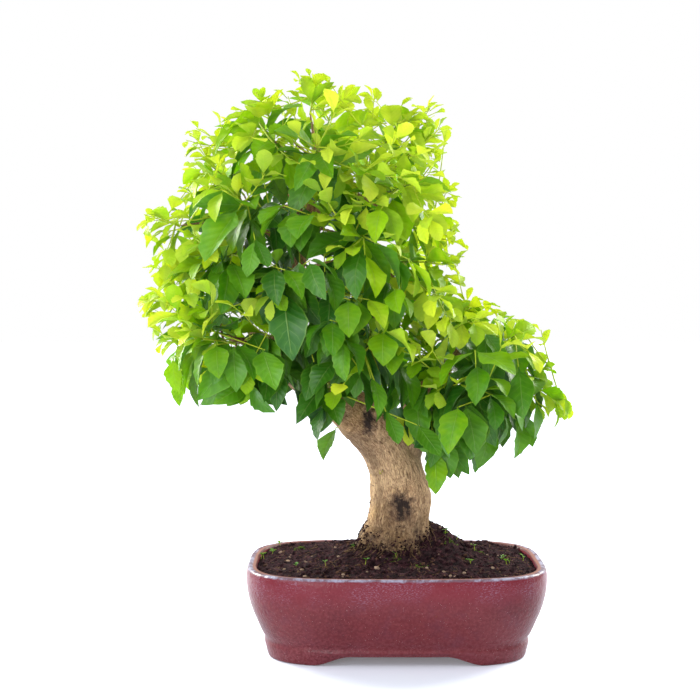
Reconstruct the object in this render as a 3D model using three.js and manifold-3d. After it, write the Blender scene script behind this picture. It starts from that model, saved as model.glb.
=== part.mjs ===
// Duranta bonsai in a glazed pot. Millimetres, +Z up, +X to the right and +Y away from the front.
// Everything is worked out round the pot's own axis, and the last lines centre the whole tree.
import * as THREE from "three";
import { mergeVertices } from "three/addons/utils/BufferGeometryUtils.js";
import Module from "manifold-3d";

const wasm = await Module();
wasm.setup();

const UP = new THREE.Vector3(0, 0, 1);
const GOLDEN_ANGLE = Math.PI * (3 - Math.sqrt(5));

// Clearance where one piece rests in or on another.
const GAP = 0.3;

// The pot: a rectangle with well rounded corners and slightly bowed sides.
const POT = {
  halfWidth: 129,
  halfDepth: 97,
  squareness: 3.7,
  sides: 40,
  archRise: 8,
  recessInset: 32,
  recessHeight: 9.5,
  footWidth: 13,
};
// Wall profiles as [inset from the widest outline, height].
const POT_OUTSIDE = [
  [17.6, 0],
  [16.4, 13],
  [13.6, 17.5],
  [9.8, 28],
  [5.2, 39],
  [1.2, 54],
  [0, 66],
  [0.8, 74],
  [3.5, 76],
];
const POT_INSIDE = [
  [7, 76],
  [8.6, 74.6],
  [9, 60],
  [13.5, 38],
  [21, 24],
  [27, 18],
];
// Where each arch between two feet is full height, and where its ramp meets the ground.
const LONG_ARCH = { flat: 40, end: 72 };
const SHORT_ARCH = { flat: 16, end: 46 };
const DRAIN = { x: 62, radius: 9, sides: 14 };

// Drain mesh: a square of plastic with four slots, laid over each hole.
const SCREEN = { side: 38, thickness: 1.2, slotLength: 26, slotWidth: 3, slotPitch: 6.5, slots: 4 };

// Soil: nearly flush with the lip, heaped round the foot of the trunk.
const SOIL = {
  edge: 71.5,
  sides: 20,
  crown: 3,
  heap: 31,
  heapCentre: [12, 14],
  heapSpread: [38, 33],
  roughness: 0.9,
  rings: [0.86, 0.68, 0.5, 0.34],
};

// Wood, as stations [x, y, z, radius].
const TRUNK = [
  [2, 0, 42, 30],
  [1, 0, 70, 32],
  [2, 0, 86, 29.5],
  [4, 0, 104, 26.5],
  [4, 0, 128, 25.5],
  [1, 0, 154, 23.5],
  [-8, 0, 178, 22],
  [-24, -1, 197, 20],
  [-44, -2, 211, 17],
  [-66, -2, 222, 13],
  [-86, 0, 232, 9.5],
  [-100, 2, 248, 8],
  [-103, 3, 268, 7.5],
  [-97, 3, 294, 7],
  [-86, 2, 324, 6.4],
  [-77, 0, 362, 5.4],
  [-72, -2, 404, 4.2],
  [-70, -2, 436, 2.6],
];
const RIGHT_LIMB = [
  [6, 0, 158, 15],
  [14, 0, 190, 15],
  [19, 2, 208, 12.5],
  [28, 3, 228, 10],
  [45, 3, 246, 8],
  [68, 2, 256, 6],
  [95, 0, 258, 4.2],
  [116, 0, 251, 2.6],
];
const ROOTS = [
  { azimuth: 184, reach: 44, radius: 10 },
  { azimuth: 352, reach: 42, radius: 10 },
  { azimuth: 246, reach: 36, radius: 8 },
  { azimuth: 302, reach: 38, radius: 9 },
  { azimuth: 60, reach: 40, radius: 9 },
  { azimuth: 128, reach: 40, radius: 9 },
];
const ROOT_TOP = 112;
const ROOT_END = 68;
// A healed pruning stub on the underside of the leaning limb.
const KNOB = { at: [-40, -12, 200], radius: 9 };
const BOUGHS = [
  [[-95, 0, 240, 7], [-130, -4, 256, 5], [-160, -8, 262, 2.6]],
  [[-100, 2, 255, 6.5], [-122, -32, 266, 4.6], [-138, -54, 270, 2.4]],
  [[-103, 3, 262, 6.5], [-122, 32, 270, 4.6], [-136, 54, 276, 2.4]],
  [[-97, 3, 294, 6], [-84, -36, 308, 4.6], [-72, -60, 316, 2.4]],
  [[-90, 2, 312, 6], [-48, -8, 326, 5], [-8, -14, 330, 2.6]],
  [[-88, 2, 320, 6], [-70, 36, 330, 4.6], [-54, 60, 336, 2.4]],
  [[-81, 0, 345, 5.2], [-118, -4, 362, 4], [-146, -6, 372, 2.4]],
  [[-77, 0, 362, 5], [-84, -34, 380, 3.8], [-90, -56, 390, 2.4]],
  [[-75, 0, 375, 4.8], [-44, 4, 394, 3.8], [-18, 4, 404, 2.4]],
  [[-74, -1, 385, 4.4], [-75, 32, 402, 3.6], [-76, 52, 412, 2.4]],
  [[28, 3, 228, 8], [38, -28, 238, 5], [46, -46, 240, 2.4]],
  [[35, 3, 238, 7], [48, 30, 246, 4.6], [58, 46, 246, 2.4]],
  [[60, 2, 254, 5.6], [74, -22, 256, 4], [84, -36, 252, 2.4]],
  [[50, 3, 248, 6], [60, 6, 266, 4], [68, 10, 276, 2.4]],
  [[80, 1, 257, 4.6], [94, 22, 256, 3.4], [102, 36, 250, 2.2]],
];
const TWIG = { rootRadius: 2.2, endRadius: 1.5 };

// The rounded masses that the foliage is trimmed to, with the number of leafy stems spread over each.
const MASSES = [
  { centre: [-68, 0, 362], radii: [120, 104, 132], squareness: 2.5, grown: 18, young: 5, lowest: -0.5 },
  { centre: [-130, -5, 272], radii: [84, 80, 62], squareness: 2.2, grown: 7, young: 3, lowest: -0.8 },
  { centre: [60, 0, 236], radii: [82, 76, 62], squareness: 2.2, grown: 8, young: 4, lowest: -0.8 },
  { centre: [-12, -4, 290], radii: [84, 86, 72], squareness: 2, grown: 5, young: 1, lowest: -0.6 },
];

// A leaf's edge from stalk to tip, as [share of the length, share of the half-width]. The step back near
// the tip is a tooth.
const GROWN = {
  edge: [
    [0.16, 0.08],
    [0.4, 0.95],
    [0.66, 0.92],
    [0.71, 0.7],
  ],
  ridge: 0.52,
  length: [40, 52],
  halfWidth: 0.275,
  thickness: 1.5,
  arch: 0.55,
  fold: 0.22,
  below: 46,
  whorls: [9, 23],
  stemLength: 31,
  stemRadius: 1.5,
  droop: 0.42,
  material: "leaf_green",
};
const YOUNG = {
  edge: [
    [0.18, 0.12],
    [0.48, 0.9],
    [0.74, 1.0],
    [0.79, 0.72],
  ],
  ridge: 0.52,
  length: [21, 31],
  halfWidth: 0.29,
  thickness: 1.3,
  arch: 0.35,
  fold: 0.28,
  below: 34,
  whorls: [9, 23],
  stemLength: 32,
  stemRadius: 1.1,
  droop: -0.1,
  material: "leaf_lime",
};
// Stems that stand out of the masses: runners to the left and right, the top, and three that hang.
const ACCENTS = [
  { kind: YOUNG, base: [-187, -6, 366], along: [-0.95, 0, 0.3] },
  { kind: YOUNG, base: [-190, 10, 298], along: [-1, 0, 0.12] },
  { kind: YOUNG, base: [116, -6, 228], along: [0.9, -0.1, -0.4] },
  { kind: YOUNG, base: [-74, -4, 462], along: [0.15, 0, 1] },
  { kind: GROWN, base: [30, -20, 204], along: [0.15, -0.45, -0.85] },
  { kind: GROWN, base: [-60, -22, 238], along: [0.1, -0.6, -0.6] },
  { kind: GROWN, base: [-122, -16, 250], along: [-0.15, -0.5, -0.7] },
];
// How well a leaf's stalk lines up with its stem face at least, where 1 is no twist, and how far the
// stem face turns the leaf its own way.
const STRAIGHT_STALK = 0.7;
const STALK_PULL = 0.4;
const LEAF_CLEARANCE = 0.35;
const LEAF_TRIES = 14;
const STEM_CLEARANCE = 0.5;
const STEM_TRIES = 10;
// Two solids cross when they share more than this, in cubic millimetres.
const CROSSING = 1e-9;

// Repeatable random numbers, the same for the same seed.
function seededRandom(seed) {
  let state = seed >>> 0;
  return () => {
    state = (state + 0x6d2b79f5) >>> 0;
    let t = state;
    t = Math.imul(t ^ (t >>> 15), t | 1);
    t ^= t + Math.imul(t ^ (t >>> 7), t | 61);
    return ((t ^ (t >>> 14)) >>> 0) / 4294967296;
  };
}

const vec = (p) => new THREE.Vector3(p[0], p[1], p[2]);
const blend = (a, b, t) => a + (b - a) * t;
const spread = (random, size) => (2 * random() - 1) * size;

// Meshes and solids

function geometryOf(points, faces) {
  const geometry = new THREE.BufferGeometry();
  geometry.setAttribute("position", new THREE.Float32BufferAttribute(points.flatMap((p) => [...p]), 3));
  geometry.setIndex(faces.flat());
  return geometry;
}

function solidOfGeometry(source) {
  const bare = source.clone();
  bare.deleteAttribute("normal");
  bare.deleteAttribute("uv");
  const merged = mergeVertices(bare, 1e-4);
  return new wasm.Manifold(
    new wasm.Mesh({
      numProp: 3,
      vertProperties: merged.attributes.position.array,
      triVerts: new Uint32Array(merged.index.array),
    }),
  );
}

function geometryOfSolid(solid) {
  const mesh = solid.getMesh();
  const geometry = new THREE.BufferGeometry();
  geometry.setAttribute("position", new THREE.BufferAttribute(new Float32Array(mesh.vertProperties), 3));
  geometry.setIndex(new THREE.BufferAttribute(new Uint32Array(mesh.triVerts), 1));
  return geometry;
}

const solidOf = (points, faces) => solidOfGeometry(geometryOf(points, faces));
const fuse = (solids) => solids.reduce((whole, next) => whole.add(next));

// Skins a stack of rings that all have the same number of points, and closes both ends.
function loft(rings) {
  const count = rings[0].length;
  const faces = [];
  const last = (rings.length - 1) * count;
  for (let r = 0; r + 1 < rings.length; r++)
    for (let i = 0; i < count; i++) {
      const a = r * count + i;
      const b = r * count + ((i + 1) % count);
      faces.push([a, b, b + count], [a, b + count, a + count]);
    }
  for (let i = 1; i + 1 < count; i++) {
    faces.push([0, i + 1, i]);
    faces.push([last, last + i, last + i + 1]);
  }
  return { points: rings.flat(), faces };
}

// Pot

function potRing(inset, height, sides = POT.sides) {
  const power = 2 / POT.squareness;
  const reach = (wave, half) => Math.sign(wave) * Math.abs(wave) ** power * (half - inset);
  return Array.from({ length: sides }, (_, i) => {
    const angle = (2 * Math.PI * i) / sides;
    const x = reach(Math.cos(angle), POT.halfWidth);
    const y = reach(Math.sin(angle), POT.halfDepth);
    return new THREE.Vector3(x, y, typeof height === "function" ? height(x, y) : height);
  });
}

function archShare(distance, arch) {
  return 1 - THREE.MathUtils.smoothstep(Math.abs(distance), arch.flat, arch.end);
}

const footHeight = (x, y) => POT.archRise * Math.min(1, archShare(x, LONG_ARCH) + archShare(y, SHORT_ARCH));

function cylinderSolid(x, radius, bottom, top, sides) {
  const geometry = new THREE.CylinderGeometry(radius, radius, top - bottom, sides);
  geometry.rotateX(Math.PI / 2);
  geometry.translate(x, 0, (bottom + top) / 2);
  return solidOfGeometry(geometry);
}

function potGeometry() {
  const footInset = POT_OUTSIDE[0][0];
  const { points, faces } = loft([
    potRing(POT.recessInset, POT.recessHeight),
    potRing(footInset + POT.footWidth, footHeight),
    potRing(footInset, footHeight),
    ...POT_OUTSIDE.slice(1).map(([inset, height]) => potRing(inset, height)),
    ...POT_INSIDE.map(([inset, height]) => potRing(inset, height)),
  ]);
  const floorTop = POT_INSIDE.at(-1)[1];
  const holes = [-1, 1].map((side) =>
    cylinderSolid(side * DRAIN.x, DRAIN.radius, POT.recessHeight - 1, floorTop + 1, DRAIN.sides),
  );
  return geometryOfSolid(holes.reduce((pot, hole) => pot.subtract(hole), solidOf(points, faces)));
}

// Drain screens and the soil over them

function screenGeometry(side) {
  const half = SCREEN.side / 2;
  const plate = new THREE.Shape([
    new THREE.Vector2(-half, -half),
    new THREE.Vector2(half, -half),
    new THREE.Vector2(half, half),
    new THREE.Vector2(-half, half),
  ]);
  for (let i = 0; i < SCREEN.slots; i++) {
    const y = (i - (SCREEN.slots - 1) / 2) * SCREEN.slotPitch;
    const x = SCREEN.slotLength / 2;
    const edge = SCREEN.slotWidth / 2;
    plate.holes.push(
      new THREE.Path([
        new THREE.Vector2(-x, y - edge),
        new THREE.Vector2(-x, y + edge),
        new THREE.Vector2(x, y + edge),
        new THREE.Vector2(x, y - edge),
      ]),
    );
  }
  const geometry = new THREE.ExtrudeGeometry(plate, { depth: SCREEN.thickness, bevelEnabled: false });
  geometry.translate(side * DRAIN.x, 0, POT_INSIDE.at(-1)[1] + GAP);
  return geometry;
}

function soilHeight(x, y) {
  const edgeShare = Math.max(Math.abs(x) / POT.halfWidth, Math.abs(y) / POT.halfDepth);
  const dx = (x - SOIL.heapCentre[0]) / SOIL.heapSpread[0];
  const dy = (y - SOIL.heapCentre[1]) / SOIL.heapSpread[1];
  const heap = SOIL.heap * Math.exp(-(dx * dx + dy * dy) / 2);
  const rough = SOIL.roughness * (Math.sin(x / 7.3 + y / 19) + Math.sin(y / 6.1 - x / 23));
  return SOIL.edge + SOIL.crown * (1 - edgeShare ** 2) + heap + rough;
}

function soilGeometry(woodSocket) {
  const inner = POT_INSIDE.slice(2).reverse();
  const wall = inner.map(([inset, height]) => potRing(inset + GAP, height + GAP, SOIL.sides));
  const rim = potRing(inner.at(-1)[0] + GAP, SOIL.edge, SOIL.sides);
  const top = SOIL.rings.map((share) =>
    rim.map((p) => new THREE.Vector3(p.x * share, p.y * share, soilHeight(p.x * share, p.y * share))),
  );
  const { points, faces } = loft([...wall, rim, ...top]);
  const pocketSide = SCREEN.side + 2 * GAP;
  const pocketDepth = SCREEN.thickness + 2 * GAP;
  const pockets = [-1, 1].map((side) => {
    const box = new THREE.BoxGeometry(pocketSide, pocketSide, 2 * pocketDepth);
    box.translate(side * DRAIN.x, 0, POT_INSIDE.at(-1)[1]);
    return solidOfGeometry(box);
  });
  return geometryOfSolid(
    [...pockets, woodSocket].reduce((soil, cut) => soil.subtract(cut), solidOf(points, faces)),
  );
}

// Wood

// A tapering limb through its stations. Bark ribs are a ripple round the section.
function limb(stations, sides, { grow = 0, ripple = 0 } = {}) {
  const centres = stations.map(vec);
  let across = new THREE.Vector3(0, 1, 0);
  const rings = centres.map((centre, i) => {
    const ahead = centres[Math.min(i + 1, centres.length - 1)];
    const behind = centres[Math.max(i - 1, 0)];
    const along = ahead.clone().sub(behind).normalize();
    across = across.clone().addScaledVector(along, -across.dot(along)).normalize();
    const side = along.clone().cross(across);
    return Array.from({ length: sides }, (_, k) => {
      const angle = (2 * Math.PI * k) / sides;
      const wave = ripple * (Math.sin(3 * angle + 0.6 * i) + 0.7 * Math.sin(5 * angle - 0.4 * i));
      const radius = stations[i][3] * (1 + wave) + grow;
      return centre
        .clone()
        .addScaledVector(across, radius * Math.cos(angle))
        .addScaledVector(side, radius * Math.sin(angle));
    });
  });
  const { points, faces } = loft(rings);
  return solidOf(points, faces);
}

function rootStations({ azimuth, reach, radius }) {
  const [x, y] = TRUNK[2];
  const angle = THREE.MathUtils.degToRad(azimuth);
  const at = (distance, height, r) => [
    x + distance * Math.cos(angle),
    y + distance * Math.sin(angle),
    height,
    r,
  ];
  return [
    at(0.25 * reach, ROOT_TOP, radius),
    at(0.6 * reach, (ROOT_TOP + ROOT_END) / 2 + 3, radius),
    at(reach, ROOT_END, 0.55 * radius),
  ];
}

// The trunk with its flaring roots. The lower stations, a little larger, are also the socket in the soil.
const woodFoot = (stations, grow) => [
  limb(stations, 12, { grow, ripple: 0.05 }),
  ...ROOTS.map((root) => limb(rootStations(root), 5, { grow })),
];

function knobSolid() {
  const geometry = new THREE.SphereGeometry(KNOB.radius, 8, 6);
  geometry.translate(...KNOB.at);
  return solidOfGeometry(geometry);
}

// Points along the boughs where a twig may start, each [x, y, z, radius].
function budSites() {
  const limbs = [TRUNK.slice(10), RIGHT_LIMB.slice(3), ...BOUGHS];
  const sites = [];
  for (const stations of limbs)
    for (let i = 0; i + 1 < stations.length; i++)
      for (const t of [0.25, 0.6, 0.95])
        sites.push(stations[i].map((value, axis) => blend(value, stations[i + 1][axis], t)));
  return sites;
}

// Leafy stems

// The bud site that a stem at this place would have grown from: near, and behind it.
function nearestSite(base, normal, sites) {
  let best = null;
  for (const site of sites) {
    const reach = base.clone().sub(vec(site));
    const distance = reach.length();
    const score = distance * (1.7 - reach.dot(normal) / distance);
    if (!best || score < best.score) best = { score, site, way: reach.normalize() };
  }
  return best;
}

const massDistance = (point, mass) => point.clone().sub(vec(mass.centre)).divide(vec(mass.radii)).length();

// Even spiral over one mass, on a box-like or a round ellipsoid, left out where another mass covers it.
function massCandidates(mass, kind, count, sites, firstSeed) {
  const young = kind === YOUNG;
  const [highest, lowest] = young ? [0.97, Math.max(mass.lowest, -0.35)] : [0.93, mass.lowest];
  const radii = vec(mass.radii).subScalar(kind.below);
  const candidates = [];
  for (let i = 0; i < count; i++) {
    const height = blend(highest, lowest, (i + 0.5) / count);
    const angle = i * GOLDEN_ANGLE + (young ? 1.9 : 0.4) + firstSeed;
    const ring = Math.sqrt(1 - height * height);
    const out = new THREE.Vector3(ring * Math.cos(angle), ring * Math.sin(angle), height);
    const size = out.toArray().reduce((sum, value) => sum + Math.abs(value) ** mass.squareness, 0);
    const surface = out.clone().multiplyScalar(size ** (-1 / mass.squareness));
    const base = surface.multiply(radii).add(vec(mass.centre));
    if (MASSES.some((other) => other !== mass && massDistance(base, other) < 0.62)) continue;
    const normal = out.clone().divide(vec(mass.radii)).normalize();
    const { site, way } = nearestSite(base, normal, sites);
    const along = normal.multiplyScalar(0.8).addScaledVector(way, 0.45);
    along.addScaledVector(UP, young ? 0.3 : 0.05).normalize();
    candidates.push({ kind, base, along, site, seed: 7919 * (100 * firstSeed + i) });
  }
  return candidates;
}

function stemCandidates(sites) {
  const accents = ACCENTS.map(({ kind, base, along }, i) => {
    const direction = vec(along).normalize();
    const { site } = nearestSite(vec(base), direction, sites);
    return { kind, base: vec(base), along: direction, site, seed: 31 * (i + 1) };
  });
  const massStems = MASSES.flatMap((mass, m) => [
    ...massCandidates(mass, GROWN, mass.grown, sites, 2 * m + 1),
    ...massCandidates(mass, YOUNG, mass.young, sites, 2 * m + 2),
  ]);
  return [...accents, ...massStems];
}

// Corners of a square section lie to the sides, above and below, so its faces look outward at 45 degrees.
function sectionAxes(along) {
  const side = new THREE.Vector3().crossVectors(UP, along);
  if (side.length() < 0.05) side.set(1, 0, 0);
  side.normalize();
  return { side, over: new THREE.Vector3().crossVectors(along, side) };
}

function squareRing(centre, { side, over }, radius) {
  const at = (direction, size) => centre.clone().addScaledVector(direction, size);
  return [at(side, radius), at(over, radius), at(side, -radius), at(over, -radius)];
}

function stemRings({ kind, base, along }) {
  const axes = sectionAxes(along);
  const half = kind.stemRadius * 0.9;
  const stops = [GAP, ...kind.whorls.flatMap((at) => [at - half, at + half])];
  const rings = stops.map((distance) => {
    const radius = kind.stemRadius * blend(1, 0.7, distance / kind.stemLength);
    return squareRing(base.clone().addScaledVector(along, distance), axes, radius);
  });
  const tip = base.clone().addScaledVector(along, kind.stemLength);
  const core = loft([
    squareRing(base, axes, 0.85 * kind.stemRadius),
    squareRing(tip, axes, 0.55 * kind.stemRadius),
  ]);
  return { ...axes, rings, tip, heart: solidOf(core.points, core.faces) };
}

// The woody twig under a leafy stem: its end is square to the stem, 0.3 mm below it.
function twigMesh({ base, along, site }, grow = 0) {
  const axes = sectionAxes(along);
  const rootRadius = Math.min(TWIG.rootRadius, 0.8 * site[3]);
  return loft([
    squareRing(vec(site), axes, rootRadius + grow),
    squareRing(base, axes, TWIG.endRadius + grow),
  ]);
}

// The stem face turned so that its upper side best follows the leaf's, and how straight the stalk is then.
function stalkCorners(corners, { heading, normal }) {
  const across = normal.clone().cross(heading);
  const rising = (a, b, c, d) => {
    const way = a.clone().add(b).sub(c).sub(d);
    return way.addScaledVector(heading, -way.dot(heading)).normalize();
  };
  const turns = [0, 1, 2, 3].map((turn) => {
    const [q0, q1, q2, q3] = [0, 1, 2, 3].map((k) => corners[(k + turn) % 4]);
    const upper = rising(q2, q3, q0, q1);
    const straight = Math.min(upper.dot(normal), rising(q1, q2, q0, q3).dot(across));
    return { turned: [q0, q1, q2, q3], upper, straight };
  });
  return turns.reduce((a, b) => (b.straight > a.straight ? b : a));
}

// One leaf that grows out of the four corners of a stem face. Its two faces share the toothed edge.
function leafPoints(corners, kind, pose, extra = 0) {
  const { heading, length, fold, arch } = pose;
  const { turned, upper, straight } = stalkCorners(corners, pose);
  const normal = pose.normal.clone().addScaledVector(upper, STALK_PULL).normalize();
  const root = corners.reduce((sum, c) => sum.add(c), new THREE.Vector3()).multiplyScalar(0.25);
  const across = normal.clone().cross(heading);
  const halfWidth = length * kind.halfWidth;
  const reach = length + extra;
  const spine = (share) =>
    root
      .clone()
      .addScaledVector(heading, reach * share)
      .addScaledVector(normal, -arch * length * Math.max(0, share - 0.4) ** 2);
  const edge = (side) =>
    kind.edge.map(([share, width]) => {
      const out = halfWidth * width + extra;
      return spine(share).addScaledVector(across, side * out).addScaledVector(normal, fold * out);
    });
  const middle = spine(kind.ridge);
  const half = kind.thickness / 2 + extra;
  const outline = [...edge(-1), spine(1), ...edge(1).reverse()];
  const ridge = [half, -half].map((offset) => middle.clone().addScaledVector(normal, offset));
  return { points: [...turned, ...outline, ...ridge], edgeCount: outline.length, straight };
}

// Triangles of a leaf: points 0 to 3 are the stem face, then the edge, the ridge above and the ridge below.
function leafFaces(edgeCount) {
  const first = 4;
  const last = first + edgeCount - 1;
  const above = last + 1;
  const below = last + 2;
  const faces = [
    [above, 3, first],
    [above, last, 2],
    [above, 2, 3],
    [below, first, 0],
    [below, 1, last],
    [below, 0, 1],
    [first, 3, 0],
    [1, 2, last],
  ];
  for (let i = first; i < last; i++) {
    faces.push([above, i, i + 1]);
    faces.push([below, i + 1, i]);
  }
  return faces;
}

const STEM_FACE_CAP = [
  [0, 3, 2],
  [0, 2, 1],
];

// Solids that stems and leaves keep clear of, each with its box.
const woods = [];
const stems = [];
const leaves = [];
const boxOf = (points) => new THREE.Box3().setFromPoints(points);
const remember = (list, solid, points) => list.push({ solid, box: boxOf(points) });

function crosses(solid, points, others) {
  const box = boxOf(points);
  return others.some(
    (other) => other.box.intersectsBox(box) && solid.intersect(other.solid).volume() > CROSSING,
  );
}

// A stem is swung aside until it clears the wood and the other stems, and its twig clears the stems.
function settleStem(candidate) {
  const random = seededRandom(candidate.seed);
  for (let attempt = 0; attempt < STEM_TRIES; attempt++) {
    const swing = new THREE.Vector3(spread(random, 1), spread(random, 1), spread(random, 1));
    const along = candidate.along.clone().addScaledVector(swing, 0.12 * attempt).normalize();
    const base = candidate.base.clone().addScaledVector(swing, 1.5 * attempt);
    const place = { ...candidate, base, along };
    const axes = sectionAxes(along);
    const wide = place.kind.stemRadius + STEM_CLEARANCE;
    const tip = base.clone().addScaledVector(along, place.kind.stemLength + STEM_CLEARANCE);
    const stem = loft([squareRing(base, axes, wide), squareRing(tip, axes, wide)]);
    const stemSolid = solidOf(stem.points, stem.faces);
    const twig = twigMesh(place, STEM_CLEARANCE);
    const twigBody = solidOf(twig.points, twig.faces);
    if (crosses(stemSolid, stem.points, [...woods, ...stems])) continue;
    if (crosses(twigBody, twig.points, stems)) continue;
    remember(stems, stemSolid, stem.points);
    remember(woods, twigBody, twig.points);
    return place;
  }
  return null;
}

// How a leaf stands on face j of its whorl: upper faces splay to the sides, lower faces hang.
function leafPose(place, frame, face, shareUp, random, attempt) {
  const { kind, along } = place;
  const { side, over } = frame;
  const sideSign = face === 0 || face === 3 ? 1 : -1;
  const overSign = face < 2 ? 1 : -1;
  const upper = overSign > 0;
  const loose = 0.16 + 0.07 * attempt;
  const grown = kind === GROWN;
  const forward = (grown ? 0.5 : 0.85) + 0.35 * shareUp;
  const sideways = grown && !upper ? 0.42 : 0.72;
  const heading = along
    .clone()
    .multiplyScalar(forward + spread(random, loose))
    .addScaledVector(side, sideSign * (sideways + spread(random, loose)))
    .addScaledVector(over, overSign * ((upper ? 0.36 : 0.5) + spread(random, loose)))
    .addScaledVector(UP, -kind.droop * (upper ? 0.8 : 1.6))
    .normalize();
  const outward = side.clone().multiplyScalar(sideSign).addScaledVector(over, overSign).normalize();
  const clearance = heading.dot(outward);
  if (clearance < 0.35) heading.addScaledVector(outward, 0.4 - clearance).normalize();
  const facing = along.clone().multiplyScalar(0.65).addScaledVector(UP, 0.7);
  facing.addScaledVector(side, spread(random, loose)).addScaledVector(over, spread(random, loose));
  const normal = facing.addScaledVector(heading, -facing.dot(heading)).normalize();
  const [shortest, longest] = kind.length;
  const length = blend(longest, shortest, 0.6 * shareUp + 0.4 * random()) * (1 - 0.02 * attempt);
  const fold = kind.fold * (0.6 + 0.8 * random());
  const arch = kind.arch * (0.5 + random());
  return { heading, normal, length, fold, arch };
}

// A stem with its whorls of four leaves, as one closed body. A leaf that finds no free place is left off.
function sprayMesh(place) {
  const frame = stemRings(place);
  const { rings, tip } = frame;
  const random = seededRandom(place.seed + 1);
  const points = rings.flat();
  const faces = [
    [0, 2, 1],
    [0, 3, 2],
  ];
  points.push(tip);
  const tipIndex = points.length - 1;
  for (let r = 0; r < rings.length; r++)
    for (let j = 0; j < 4; j++) {
      const a = 4 * r + j;
      const b = 4 * r + ((j + 1) % 4);
      if (r === rings.length - 1) {
        faces.push([a, b, tipIndex]);
        continue;
      }
      const quad = [a, b, b + 4, a + 4];
      const leaf = r % 2 === 1 ? findLeaf(place, frame, quad.map((k) => points[k]), j, r, random) : null;
      if (!leaf) {
        faces.push([quad[0], quad[1], quad[2]], [quad[0], quad[2], quad[3]]);
        continue;
      }
      const start = points.length - 4;
      points.push(...leaf.points.slice(4));
      const rootOf = leaf.points.slice(0, 4).map((corner) => quad.find((k) => points[k] === corner));
      leafFaces(leaf.edgeCount).forEach((face) =>
        faces.push(face.map((k) => (k < 4 ? rootOf[k] : start + k))),
      );
    }
  return { points, faces };
}

function findLeaf(place, frame, corners, face, ringIndex, random) {
  const shareUp = (ringIndex - 1) / 2 / Math.max(1, place.kind.whorls.length - 1);
  const otherStems = stems.filter((stem, k) => k !== place.order);
  for (let attempt = 0; attempt < LEAF_TRIES; attempt++) {
    const pose = leafPose(place, frame, face, shareUp, random, attempt);
    const wide = leafPoints(corners, place.kind, pose, LEAF_CLEARANCE);
    const leaf = leafPoints(corners, place.kind, pose);
    if (leaf.straight < STRAIGHT_STALK) continue;
    const closed = [...leafFaces(leaf.edgeCount), ...STEM_FACE_CAP];
    const exact = solidOf(leaf.points, closed);
    if (exact.intersect(frame.heart).volume() > CROSSING) continue;
    if (crosses(solidOf(wide.points, closed), wide.points, [...woods, ...otherStems, ...leaves])) continue;
    if (crosses(exact, leaf.points, leaves)) continue;
    remember(leaves, exact, leaf.points);
    return leaf;
  }
  return null;
}

// The tree

const COLOURS = {
  glaze: { color: 0x6d2a35, roughness: 0.3 },
  mesh: { color: 0x2c2c2c, roughness: 0.7 },
  soil: { color: 0x2e211c, roughness: 1 },
  bark: { color: 0x8a6a50, roughness: 0.85 },
  leaf_green: { color: 0x2f7420, roughness: 0.4 },
  leaf_lime: { color: 0x9cc81e, roughness: 0.45 },
};

function namedMesh(name, geometry, colour) {
  const material = new THREE.MeshStandardMaterial({ metalness: 0, ...COLOURS[colour] });
  const mesh = new THREE.Mesh(geometry, material);
  mesh.name = name;
  return mesh;
}

const bonsai = new THREE.Group();
bonsai.add(namedMesh("pot", potGeometry(), "glaze"));
bonsai.add(namedMesh("screen_left", screenGeometry(-1), "mesh"));
bonsai.add(namedMesh("screen_right", screenGeometry(1), "mesh"));
bonsai.add(namedMesh("soil", soilGeometry(fuse(woodFoot(TRUNK.slice(0, 5), GAP))), "soil"));

for (const stations of [TRUNK.slice(3), RIGHT_LIMB, ...BOUGHS])
  for (let i = 0; i + 1 < stations.length; i++) {
    const pair = stations.slice(i, i + 2).map(([x, y, z, r]) => [x, y, z, 1.05 * r + STEM_CLEARANCE]);
    const reach = Math.max(pair[0][3], pair[1][3]);
    woods.push({ solid: limb(pair, 8), box: boxOf(pair.map(vec)).expandByScalar(reach) });
  }
const places = stemCandidates(budSites())
  .map(settleStem)
  .filter(Boolean)
  .map((place, order) => ({ ...place, order }));
const woodPieces = [
  ...woodFoot(TRUNK, 0),
  limb(RIGHT_LIMB, 9, { ripple: 0.04 }),
  knobSolid(),
  ...BOUGHS.map((stations) => limb(stations, 5)),
  ...places.map((place) => twigMesh(place)).map(({ points, faces }) => solidOf(points, faces)),
];
bonsai.add(namedMesh("trunk", geometryOfSolid(fuse(woodPieces)), "bark"));

const counts = { grown: 0, young: 0 };
for (const place of places) {
  const kindName = place.kind === GROWN ? "grown" : "young";
  const prefix = place.kind === GROWN ? "spray" : "shoot";
  counts[kindName] += 1;
  const { points, faces } = sprayMesh(place);
  const name = `${prefix}_${String(counts[kindName]).padStart(2, "0")}`;
  bonsai.add(namedMesh(name, geometryOf(points, faces), place.kind.material));
}

// The whole tree is centred over the origin, with the pot's feet on z = 0.
const bounds = new THREE.Box3().setFromObject(bonsai);
const centre = bounds.getCenter(new THREE.Vector3());
bonsai.position.set(-centre.x, -centre.y, 0);

export default bonsai;
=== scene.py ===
# %% [markdown]
# # A duranta bonsai, dressed in Blender
# The solids of the tree, its soil and its glazed pot come from CAD as a fixed frame. This notebook keeps
# their places and sizes, and gives each of them the fine surface that the real one shows: bark, glaze,
# crumbly soil, and about seventeen hundred thin leaves. Everything is in metres, +Z up, and +Y points
# away from the viewer.

# %% Load the frame
import random
from dataclasses import dataclass, replace
from math import atan2, cos, exp, hypot, pi, radians, sin, sqrt

import bmesh
import bpy
import numpy as np
from mathutils import Matrix, Vector, noise
from mathutils.bvhtree import BVHTree


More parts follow.
